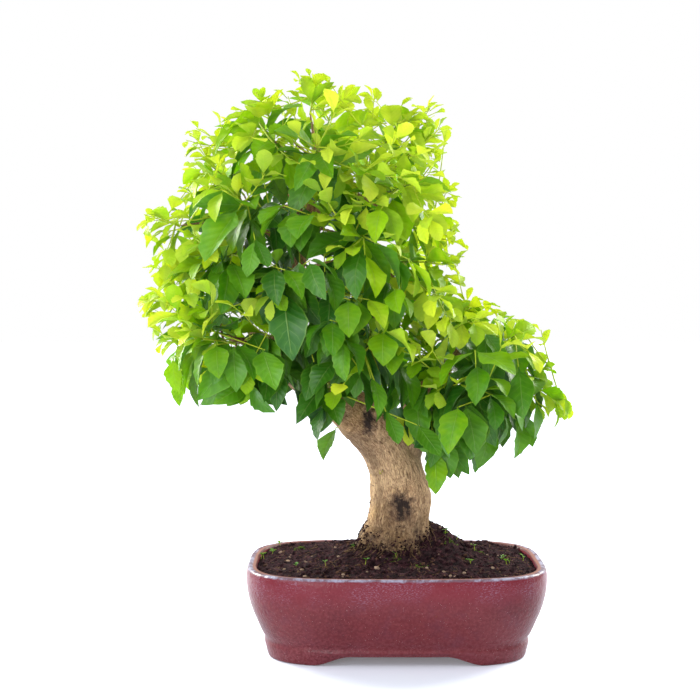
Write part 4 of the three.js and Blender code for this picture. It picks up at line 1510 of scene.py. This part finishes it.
def inside_outline(place, slack=0):
    """Whether a place shows inside the crown's outline in the picture, or outside by less than a slack."""
    px, py = picture_point(place)
    away = hypot(px - OUTLINE_MIDDLE[0], py - OUTLINE_MIDDLE[1])
    px += (OUTLINE_MIDDLE[0] - px) * slack / away
    py += (OUTLINE_MIDDLE[1] - py) * slack / away
    inside = False
    for (ax, ay), (bx, by) in zip(CROWN_OUTLINE, CROWN_OUTLINE[1:] + CROWN_OUTLINE[:1]):
        if (ay > py) != (by > py) and px < ax + (bx - ax) * (py - ay) / (by - ay):
            inside = not inside
    return inside


def inside_crown(place):
    x, y, z = (place - CROWN_MIDDLE) / MM
    return inside_outline(place) and hypot(x / CROWN_REACH[0], y / CROWN_REACH[1], z / CROWN_REACH[2]) < 1


print("outline of", len(CROWN_OUTLINE), "points, with its middle inside:", inside_crown(CROWN_MIDDLE))


# %% What is where in the crown
CUBE = 45 * MM
BLADE_REACH = 48 * MM


class Crown:
    """The blades and stems so far, each as a place and a search tree, by cubes of space."""

    def __init__(self):
        self.blades = {}
        self.stems = {}
        self.count = 0

    def cube(self, place):
        return tuple(int(v // CUBE) for v in place)

    def near(self, kind, place):
        x, y, z = self.cube(place)
        for key in ((x + i, y + j, z + k) for i in (-1, 0, 1) for j in (-1, 0, 1) for k in (-1, 0, 1)):
            yield from kind.get(key, ())

    def keep(self, kind, place, tree):
        kind.setdefault(self.cube(place), []).append((place, tree))

    def crowding(self, place, reach):
        """How many blades have their middle within a reach of a place."""
        return sum((place - other).length < reach for other, _ in self.near(self.blades, place))

    def free(self, kind, place, tree, reach):
        near = (known for other, known in self.near(kind, place) if (place - other).length < reach)
        return not any(tree.overlap(known) for known in near)


def blade_tree(leaf):
    points = bent_blade(leaf)
    tree = BVHTree.FromPolygons(points.tolist(), PATTERNS[leaf.pattern]["triangles"], all_triangles=True)
    return Vector(points.mean(axis=0)), tree


def tube_tree(points):
    faces = [list(face.vertices) for face in STEM_TUBE.polygons]
    return Vector(points.mean(axis=0)), BVHTree.FromPolygons(points.tolist(), faces)


CROWN = Crown()


# %% Room for a new leaf
def keep_leaf(leaf):
    CROWN.keep(CROWN.blades, *blade_tree(leaf))
    CROWN.count += 1


def has_room(leaf, bounded):
    """Whether a new leaf touches nothing and, where it is bounded, stays inside the crown."""
    tip = leaf.root + leaf.heading * leaf.length
    if bounded and not (inside_crown(tip) and inside_crown(leaf.root.lerp(tip, 0.5))):
        return False
    if not (bounded or inside_outline(tip, OUTLINE_SLACK)):
        return False
    return touches_nothing(*blade_tree(leaf))


def touches_nothing(place, tree):
    if not CROWN.free(CROWN.blades, place, tree, BLADE_REACH):
        return False
    return CROWN.free(CROWN.stems, place, tree, BLADE_REACH) and not tree.overlap(SKIN_TREE)


# %% [markdown]
# ### The leaves of the CAD stems
# Each CAD stem becomes one piece with all of its leaves in their places. Its leaves are only kept in the
# crown's book, because their places are given.

# %% Dress one CAD stem
ROLL = 0.45
MOST_DROP = 0.55
SETTLE_TRIES = 16
# The age of a green stem, as a leaf's: on young growth, on old growth, and on a side shoot.
YOUNG_STEM, OLD_STEM, SHOOT_STEM = 0.7, 0.35, 0.75


def random_way(draw):
    return Vector([draw.gauss(0, 1) for _ in range(3)]).normalized()


def settled(leaf, draw):
    """A CAD leaf that hangs and rolls a little, and keeps inside the outline, where it finds the room."""
    leaf.fold = min(0.5, leaf.fold + draw.uniform(0.0, 0.25))
    leaf.half_width *= draw.uniform(0.84, 1.0)
    hang = MOST_DROP * max(0.0, 0.6 - leaf.age)
    outside = not inside_outline(leaf.root + leaf.heading * leaf.length)
    for step in range(SETTLE_TRIES):
        loose = 0.2 + 0.8 * step / SETTLE_TRIES
        heading = leaf.heading - UP * draw.uniform(0, 2) * hang
        if outside:
            heading = leaf.heading + random_way(draw) * loose
        heading.normalize()
        normal = leaf.normal + heading.cross(leaf.normal) * draw.uniform(-ROLL, ROLL)
        normal = (normal - heading * normal.dot(heading)).normalized()
        length = leaf.length * (1 - 0.4 * loose if outside else 1.0)
        moved = replace(leaf, heading=heading, normal=normal, length=length)
        if inside_outline(moved.root + heading * moved.length) and touches_nothing(*blade_tree(moved)):
            return moved
    if outside:
        length, half_width = 0.55 * leaf.length, 0.6 * leaf.half_width
        return replace(leaf, length=length, half_width=half_width, age=max(leaf.age, 0.8))
    return leaf


def dress_stem(stem, draw):
    """The fine leaves and the stem of one CAD node, gathered but not yet made a mesh."""
    bunch = Bunch()
    span = (stem.tip - stem.base).length
    for leaf in stem.leaves:
        share = (leaf.root - stem.base).dot(stem.along) / span
        set_age_and_light(leaf, stem.young, share, draw)
        leaf.root = leaf.root - leaf.heading * PETIOLE_REACH
        leaf.length += PETIOLE_REACH
        leaf = settled(leaf, draw)
        add_leaf(bunch, leaf)
        keep_leaf(leaf)
    start = stem.base - stem.along * 1.2 * MM
    age = YOUNG_STEM if stem.young else OLD_STEM
    points = add_stem(bunch, straight_line(start, stem.tip), STEM_RADIUS, age)
    CROWN.keep(CROWN.stems, *tube_tree(points))
    return bunch


# %% Dress every CAD stem
draw = random.Random(21)
BUNCHES = {stem.name: dress_stem(stem, draw) for stem in STEMS}
print("leaves on CAD stems:", CROWN.count)


# %% [markdown]
# ### Side shoots
# The real tree has about four times as many leaves as its main stems carry. The rest sit on short side
# shoots, which start in the crook of a leaf or straight from a woody twig. Each is a thin curved stem with
# leaves in crossed pairs that get smaller towards its tip. A shoot is kept only where most of its leaves
# find room, and crowded places are passed over, so the gaps fill first.

# %% The form of a shoot
@dataclass
class Shoot:
    """A new side shoot. Lengths are in metres, droop says how far its leaves hang."""

    start: Vector
    way: Vector
    length: float
    whorls: int
    leaf_length: float
    young: bool
    droop: float
    bounded: bool = True


LIFT = 0.25
LEAF_ROLL = 0.4
SHOOT_RADIUS = 0.62 * MM
STEM_MARGIN = 25 * MM


def lift_of(droop):
    return 0.0 if droop > 0.5 else LIFT


def shoot_line(shoot):
    """The places of a shoot's stem, bending up towards the light."""
    steps = [i / (TUBE_RINGS - 1) for i in range(TUBE_RINGS)]
    bend = lift_of(shoot.droop)
    return [shoot.start + shoot.way * shoot.length * t + UP * bend * shoot.length * t * t for t in steps]


def point_on(line, share):
    """A place and a direction along a line of places."""
    step = min(len(line) - 2, int(share * (len(line) - 1)))
    rest = share * (len(line) - 1) - step
    return line[step].lerp(line[step + 1], rest), (line[step + 1] - line[step]).normalized()


def shoot_leaf(shoot, place, along, turn, share, draw):
    """One leaf of a shoot, at an angle round its stem."""
    side = along.orthogonal().normalized()
    radial = Matrix.Rotation(turn, 3, along) @ side
    spread = 0.95 - 0.45 * share
    hang = shoot.droop * (1.1 - 0.5 * share)
    heading = (radial * spread + along * (0.35 + 0.5 * share) - UP * hang).normalized()
    facing = along * 0.5 + UP * 0.8 + radial * 0.25
    normal = Matrix.Rotation(draw.gauss(0, LEAF_ROLL), 3, heading) @ (facing - heading * facing.dot(heading))
    length = shoot.leaf_length * (1.0 - 0.30 * share) * draw.uniform(0.85, 1.12)
    root = place + radial * (SHOOT_RADIUS * 0.8 + 0.35 * MM)
    leaf = Leaf(root, heading, normal.normalized(), length, length * draw.uniform(0.25, 0.33))
    leaf.fold = draw.uniform(0.15, 0.50)
    leaf.arch = draw.uniform(0.15, 0.85)
    set_age_and_light(leaf, shoot.young, share, draw)
    return leaf


# %% Growing one shoot
def grow(shoot, draw, least):
    """The stem points and the leaves of a shoot that find room, or None if too few do."""
    line = shoot_line(shoot)
    points = tube_along(STEM_TUBE, line, SHOOT_RADIUS)
    place, tree = tube_tree(points)
    reach = shoot.length / 2 + STEM_MARGIN
    if not CROWN.free(CROWN.blades, place, tree, reach) or shoot.bounded and not inside_crown(line[-1]):
        return None
    leaves = []
    turn = draw.uniform(0, pi)
    for i in range(shoot.whorls):
        share = (i + 1) / shoot.whorls
        root, along = point_on(line, share * 0.97)
        for side in (0, pi):
            leaf = shoot_leaf(shoot, root, along, turn + side + draw.uniform(-0.25, 0.25), share, draw)
            if has_room(leaf, shoot.bounded):
                leaves.append((share, leaf))
        turn += pi / 2
    if len(leaves) < least * 2 * shoot.whorls:
        return None
    return line, leaves


def add_shoot(bunch, shoot, grown, draw):
    """Puts a grown shoot into a bunch, with each leaf checked once more. Its stem ends at its last leaf."""
    line, leaves = grown
    reached = 0.0
    for share, leaf in leaves:
        if has_room(leaf, shoot.bounded):
            keep_leaf(leaf)
            add_leaf(bunch, leaf)
            reached = share
    if reached == 0.0:
        return
    line = [point_on(line, min(0.999, reached * i / (TUBE_RINGS - 1)))[0] for i in range(TUBE_RINGS)]
    points = add_stem(bunch, line, STALK_RADIUS, SHOOT_STEM)
    CROWN.keep(CROWN.stems, *tube_tree(points))


# %% Where side shoots start
def outward_from(place):
    offset = place - CROWN_MIDDLE
    return Vector((offset.x, offset.y, offset.z * 0.8)).normalized()


def start_on_stem(draw):
    """A place on a CAD stem, the way out from there, and the stem's name."""
    stem = draw.choice(STEMS)
    place = stem.base.lerp(stem.tip, draw.uniform(0.12, 1.0))
    way = stem.along * 0.6 + random_way(draw) * 0.8 + outward_from(place) * 0.5
    return place, way.normalized(), stem.name


THICK = 8.5 * MM
LOWEST = 0.205
_, girth, distance = grain_of(SKIN)
TWIG_PLACES = SKIN[(SKIN[:, 2] > LOWEST) & ((distance > LIMB_REACH) | (girth < THICK))]
print("places on the twigs:", len(TWIG_PLACES))


def start_on_wood(draw):
    """A place just under the bark of a bough or twig, and the way out from there."""
    place = Vector(draw.choice(TWIG_PLACES))
    normal = SKIN_TREE.find_nearest(place)[1]
    way = normal * 0.9 + random_way(draw) * 0.5 + outward_from(place) * 0.7
    return place - normal * 0.6 * MM, way.normalized(), None


# %% Filling the crown
CROWD_REACH = 22 * MM
LEAST_KEPT = 0.6


def fill(seed, tries, goal, start, sizes, crowd):
    """Tries shoots from random starts until the crown has its goal of leaves."""
    draw = random.Random(seed)
    for _ in range(tries):
        if CROWN.count >= goal:
            break
        place, way, name = start(draw)
        young = draw.random() < 0.10 + 0.85 * sun_at(place + way * 0.02)
        length = draw.uniform(*sizes) * MM
        whorls = max(1, round(length / (10 * MM)))
        leaf_length = draw.uniform(20, 30) * MM if young else draw.uniform(28, 42) * MM
        droop = draw.uniform(0.0, 0.35) if young else draw.uniform(0.45, 1.1)
        if CROWN.crowding(place + way * length, CROWD_REACH) > crowd:
            continue
        shoot = Shoot(place, way, length, whorls, leaf_length, young, droop)
        grown = grow(shoot, draw, LEAST_KEPT)
        if grown:
            add_shoot(BUNCHES[name], shoot, grown, draw)


BUNCHES[None] = Bunch()


# %% [markdown]
# Some shoots are landmarks: the ones that stand out against the white, and the bright clusters on the
# front. The end of each is given by where it shows in the picture. Its stalk still has to start on a stem
# or a twig, so the nearest start is taken from which a stalk reaches the end without crossing a leaf.

# %% Where the landmarks show
# Ends as (across and down in the picture, depth in mm, leaf length in mm, whorls, young, droop).
RIM_SHOOTS = [
    (160, 232, 0, 24, 3, True, 0.25), (165, 255, 20, 26, 2, True, 0.3), (165, 268, -20, 26, 3, True, 0.3),
    (186, 141, 0, 20, 2, True, 0.4), (196, 128, 15, 18, 3, True, 0.2), (200, 160, -15, 22, 3, True, 0.2),
    (222, 122, -10, 20, 2, True, 0.1), (192, 180, 0, 24, 3, True, 0.2), (240, 112, 0, 18, 2, True, 0.0),
    (372, 112, 0, 22, 2, True, -0.3), (412, 116, -10, 20, 3, True, 0.2), (436, 112, 0, 18, 2, True, 0.0),
    (438, 128, 15, 20, 3, True, 0.2), (432, 150, -20, 22, 3, True, 0.1), (446, 190, 0, 18, 2, True, 0.0),
    (452, 238, 0, 20, 2, True, 0.0), (452, 262, 10, 20, 2, True, 0.1), (448, 288, 0, 22, 3, True, 0.2),
    (488, 312, 0, 20, 2, True, 0.1), (500, 318, -15, 22, 3, True, 0.2), (160, 326, 0, 24, 2, True, 0.4),
    (155, 310, 10, 22, 3, True, 0.4), (328, 76, 0, 16, 1, True, -0.3), (300, 80, 8, 18, 2, True, 0.1),
    (540, 405, 0, 22, 2, True, 0.6), (560, 402, 0, 22, 2, True, 0.5), (345, 98, 0, 24, 2, True, 0.0),
    (438, 462, -30, 52, 1, False, 3.0), (446, 460, -22, 48, 1, False, 3.0),
    (516, 420, -10, 54, 1, False, 2.6), (489, 424, -15, 58, 1, False, 2.6),
    (322, 408, -34, 48, 1, False, 2.6), (179, 374, 0, 50, 1, False, 3.0), (350, 180, -40, 28, 3, True, 0.3),
    (150, 222, 0, 26, 3, True, 0.3), (172, 284, 0, 28, 2, True, 0.4), (180, 270, -20, 28, 2, True, 0.4),
    (158, 262, 10, 26, 2, True, 0.3), (165, 244, 15, 28, 2, True, 0.3), (425, 110, 10, 22, 3, True, 0.1),
    (441, 124, -15, 22, 3, True, 0.1), (447, 138, 0, 22, 2, True, 0.2), (376, 100, 10, 26, 2, True, -0.2),
    (196, 170, 10, 24, 2, True, 0.3), (190, 190, 0, 24, 2, True, 0.3), (160, 335, -10, 26, 2, True, 0.5),
    (288, 92, -10, 20, 2, True, 0.0), (437, 160, 0, 24, 2, True, 0.2), (186, 205, -10, 24, 2, True, 0.3),
    (456, 245, 0, 22, 2, True, 0.2), (564, 408, 0, 20, 1, True, 0.5), (200, 182, 20, 24, 2, True, 0.3),
    (408, 122, -20, 22, 2, True, 0.1), (450, 192, 10, 20, 2, True, 0.2), (283, 118, -30, 20, 2, True, 0.2),
    (430, 104, 0, 20, 1, True, 0.0), (147, 228, 0, 20, 1, True, 0.3), (541, 327, 0, 18, 1, True, 0.1),
    (148, 303, 0, 22, 1, True, 0.4), (404, 100, 0, 18, 1, True, 0.0), (200, 374, 0, 50, 1, False, 3.0),
    (200, 147, 10, 24, 2, True, 0.3), (180, 214, -5, 24, 2, True, 0.3), (374, 92, 5, 20, 1, True, -0.3),
    (450, 202, 0, 20, 2, True, 0.3), (225, 160, -30, 26, 2, True, 0.4), (452, 282, 0, 22, 2, True, 0.3),
    (466, 298, 5, 22, 2, True, 0.2), (520, 322, 0, 20, 2, True, 0.2), (160, 342, 0, 24, 2, True, 0.6),
    (455, 258, -5, 22, 2, True, 0.3), (310, 74, 0, 16, 1, True, -0.2), (570, 408, 0, 20, 1, True, 0.7),
    (428, 110, -5, 20, 2, True, 0.1), (445, 130, 5, 20, 2, True, 0.2), (172, 358, 10, 50, 1, False, 2.4),
    (528, 424, -4, 50, 1, False, 2.6), (262, 172, -50, 30, 2, False, 0.6), (536, 400, 0, 46, 1, False, 2.6),
    (556, 402, 5, 30, 1, True, 1.6),
]
# Old leaves that hang in front of the boughs, by where their stems end, with the depth of each.
HANGING_SHOOTS = [
    (412, 376, -50), (428, 384, -55), (442, 396, -45), (400, 366, -60), (384, 384, -48), (282, 222, -60),
    (299, 246, -62), (343, 270, -60), (290, 236, -44), (254, 334, -62), (319, 274, -56), (278, 140, -44),
    (334, 360, -58), (269, 336, -66), (430, 298, -50), (457, 334, -48), (485, 334, -45), (512, 362, -34),
    (403, 342, -72), (314, 362, -66), (475, 340, -40), (304, 206, -55), (408, 400, -50), (420, 400, -42),
    (334, 428, -20), (470, 438, -22), (448, 440, -30), (432, 430, -36), (360, 370, -60), (290, 386, -34),
    (360, 292, -30), (345, 196, -45), (358, 205, -50), (274, 178, -40), (318, 180, -50), (386, 412, -60),
    (371, 378, -64), (420, 426, -50), (312, 352, -40), (262, 372, -20),
]
# Ends on the front of the crown, by where they show.
FRONT_SHOOTS = [
    (265, 172), (323, 190), (345, 250), (243, 312), (272, 300), (405, 343), (432, 348), (437, 393),
    (460, 384), (345, 383), (212, 292), (216, 312), (300, 168), (350, 208), (386, 240), (430, 222),
    (298, 135), (335, 110), (480, 322), (502, 342), (245, 376), (452, 326), (528, 352), (402, 180),
    (418, 160), (368, 170), (205, 245), (250, 140), (330, 150), (190, 330), (395, 135), (440, 300),
    (360, 140), (220, 160), (190, 290), (165, 300),
]
# Old leaves on the front of the crown, in the same way.
DARK_SHOOTS = [
    (235, 215), (222, 190), (380, 210), (410, 260), (282, 205), (235, 345), (475, 350), (520, 380),
    (310, 260), (370, 300), (290, 330), (330, 320), (255, 240), (285, 270), (350, 300), (395, 290),
    (310, 215), (345, 340), (230, 265), (385, 330), (215, 345), (265, 350), (450, 410), (490, 395),
    (505, 400), (365, 255), (325, 285),
]
print("landmarks:", len(RIM_SHOOTS + HANGING_SHOOTS), "and", len(FRONT_SHOOTS + DARK_SHOOTS), "on the front")


# %% Growing to a given end
STALK_REACH = 95 * MM
STALK_LEAST = 8 * MM
STALK_TRIES = 90
PAIR_STEP = 12 * MM
GOOD_SHARE = 0.7
FRONT_SHARE = -0.9
DEPTH_TRIES = (0, -12, 12, -24, 24, -40)


def stalk_starts(end):
    """Places on stems and twigs near a shoot's end, nearest first."""
    places = [stem.base.lerp(stem.tip, share) for stem in STEMS for share in (0.1, 0.3, 0.5, 0.7, 0.95)]
    gaps = np.linalg.norm(TWIG_PLACES - np.array(end), axis=1)
    places += [Vector(TWIG_PLACES[i]) for i in np.flatnonzero(gaps < STALK_REACH)[::97]]
    places = [place for place in places if STALK_LEAST < (place - end).length < STALK_REACH]
    return sorted(places, key=lambda place: (place - end).length)


def landmark(end, leaf_length, whorls, young, droop, draw):
    """Grows a shoot to a given end. Returns whether one of the starts let it through."""
    best = None
    for start in stalk_starts(end)[:STALK_TRIES]:
        offset = end - start
        offset -= UP * lift_of(droop) * offset.length
        pairs = max(whorls, round(offset.length / PAIR_STEP))
        size = leaf_length * MM
        shoot = Shoot(start, offset.normalized(), offset.length, pairs, size, young, droop, False)
        grown = grow(shoot, draw, 0.0)
        if not grown or not grown[1] or grown[1][-1][0] < 1:
            continue
        share = len(grown[1]) / (2 * pairs)
        if best is None or share > best[0]:
            best = (share, shoot, grown)
        if share > GOOD_SHARE:
            break
    if best is None:
        return False
    add_shoot(BUNCHES[None], best[1], best[2], draw)
    return True


def front_depth(px, py):
    """The depth in mm of the crown's front at a point of the picture."""
    flat = (seen_at(px, py, 0) - CROWN_MIDDLE) / MM
    left_over = 1 - (flat.x / CROWN_REACH[0]) ** 2 - (flat.z / CROWN_REACH[2]) ** 2
    return FRONT_SHARE * CROWN_REACH[1] * sqrt(max(0.08, left_over))


def place_all(kind, shoots, draw):
    """Grows each landmark at its depth or a little off it, and prints the ones that found no way."""
    missed = []
    for px, py, depth, *habit in shoots:
        if not any(landmark(seen_at(px, py, depth + shift), *habit, draw) for shift in DEPTH_TRIES):
            missed.append((px, py))
    print(kind, "shoots that found no way:", missed, "leaves:", CROWN.count)


# %% Grow the landmarks
draw = random.Random(41)
place_all("rim", RIM_SHOOTS, draw)
hanging = [(*spot, draw.uniform(46, 58), 1, False, 2.0) for spot in HANGING_SHOOTS]
place_all("hanging", hanging, draw)
fill(seed=30, tries=3000, goal=CROWN.count + 130, start=start_on_wood, sizes=(14, 48), crowd=7)
print("after the first shoots on the wood:", CROWN.count)
darks = [(*spot, front_depth(*spot), draw.uniform(44, 58), 1, False, 1.6) for spot in DARK_SHOOTS]
place_all("dark", darks, draw)
fronts = [
    (*spot, front_depth(*spot), draw.uniform(26, 35), 2, True, draw.uniform(0, 0.5)) for spot in FRONT_SHOOTS
]
place_all("front", fronts, draw)


# %% [markdown]
# The rest of the crown is filled at random, first from the boughs and twigs, then from the CAD stems.

# %% Fill the rest
fill(seed=31, tries=5000, goal=CROWN.count + 120, start=start_on_wood, sizes=(14, 48), crowd=8)
print("after shoots on the wood:", CROWN.count)
fill(seed=32, tries=6000, goal=CROWN.count + 200, start=start_on_stem, sizes=(6, 30), crowd=9)
print("after shoots on the stems:", CROWN.count)


# %% [markdown]
# ### Weeds and moss
# Seedlings of weeds have come up in the pot, each with a few tiny leaves, and moss has begun in damp
# places. Those that the picture shows stand on the point of the soil that is seen there. A few more are
# strewn, because a pot has them all round. A dot of yellow lichen sits on the bark.

# %% Weeds
WEED_SPOTS = [
    (281, 545), (271, 553), (262, 560), (350, 535), (367, 563), (396, 558), (445, 533), (458, 541),
    (500, 560), (524, 561),
]
MOSS_SPOTS = [(352, 538), (450, 540), (396, 560), (300, 548), (480, 552), (420, 566)]
LICHEN_SPOT = (381, 472)
MORE_WEEDS = 9
TUFT_CRUMBS = 34
LICHEN_CRUMBS = 14
MOSS = earth("moss", [(0.3, (0.020, 0.040, 0.004)), (0.7, (0.110, 0.190, 0.020))])
LICHEN = earth("lichen", [(0.3, (0.20, 0.24, 0.02)), (0.7, (0.55, 0.55, 0.08))])


def add_weed(bunch, place, draw):
    tip = place + Vector((draw.gauss(0, 0.8), draw.gauss(0, 0.8), draw.uniform(1.5, 4.5))) * MM
    add_stem(bunch, straight_line(place - UP * 0.6 * MM, tip), 0.28 * MM, 0.6)
    turn = draw.uniform(0, 2 * pi)
    for i in range(draw.choice((2, 3, 4))):
        out = Vector((cos(turn + 2.1 * i), sin(turn + 2.1 * i), draw.uniform(0.1, 0.9))).normalized()
        normal = (UP - out * out.z).normalized()
        length = draw.uniform(2.2, 4.6) * MM
        leaf = Leaf(tip, out, normal, length, 0.36 * length, pattern="young")
        leaf.age = draw.uniform(0.20, 0.60)
        add_leaf(bunch, leaf)


def weeds():
    bunch = Bunch()
    draw = random.Random(51)
    places = [seen_on(SOIL_TREE, *spot) for spot in WEED_SPOTS]
    for _ in range(MORE_WEEDS):
        x, y = strewn_place(draw, 0.9)
        places.append(from_pot(x, y, soil_top(x, y)))
    for place in places:
        for _ in range(draw.choice((1, 1, 2))):
            beside = place + Vector((draw.gauss(0, 1.6), draw.gauss(0, 1.2), 0)) * MM
            x, y, _ = in_pot(beside)
            beside.z = POT_MIDDLE.z + soil_top(x, y) * MM
            add_weed(bunch, beside, draw)
    return bunch.mesh("weeds")


# %% Moss and lichen
def moss():
    bunch = Bunch()
    draw = random.Random(52)
    for spot in MOSS_SPOTS:
        middle = in_pot(seen_on(SOIL_TREE, *spot))
        for _ in range(TUFT_CRUMBS):
            x, y = middle.x + draw.gauss(0, 2.6), middle.y + draw.gauss(0, 2.0)
            bunch.add(CRUMB, lump(draw, (x, y, soil_top(x, y)), draw.uniform(0.4, 1.0)))
    return bunch.mesh("moss")


def lichen():
    bunch = Bunch()
    draw = random.Random(53)
    middle = seen_on(SKIN_TREE, *LICHEN_SPOT)
    for _ in range(LICHEN_CRUMBS):
        beside = middle + Vector((draw.gauss(0, 0.9), 0, draw.gauss(0, 1.1))) * MM
        place = SKIN_TREE.find_nearest(beside)[0]
        bunch.add(CRUMB, lump(draw, in_pot(place), draw.uniform(0.3, 0.6)))
    return bunch.mesh("lichen")


tell(
    register("weeds", weeds(), LEAF_FINISHES),
    register("moss", moss(), [MOSS]),
    register("lichen", lichen(), [LICHEN]),
)


# %% [markdown]
# ### The leafy pieces
# Each CAD stem becomes one piece, which stands for its node. The shoots that start on the wood are one
# piece more.

# %% Leafy pieces
def leafy_piece(name, bunch, replaces=()):
    mesh = bunch.mesh(name)
    return register(name, mesh, LEAF_FINISHES, replaces)


SPRAYS = [leafy_piece(stem.name + "_leaves", BUNCHES[stem.name], [stem.name]) for stem in STEMS]
SPRAYS.append(leafy_piece("twig_shoots", BUNCHES[None]))
print("leafy pieces:", len(SPRAYS), "faces:", sum(len(spray.data.polygons) for spray in SPRAYS))
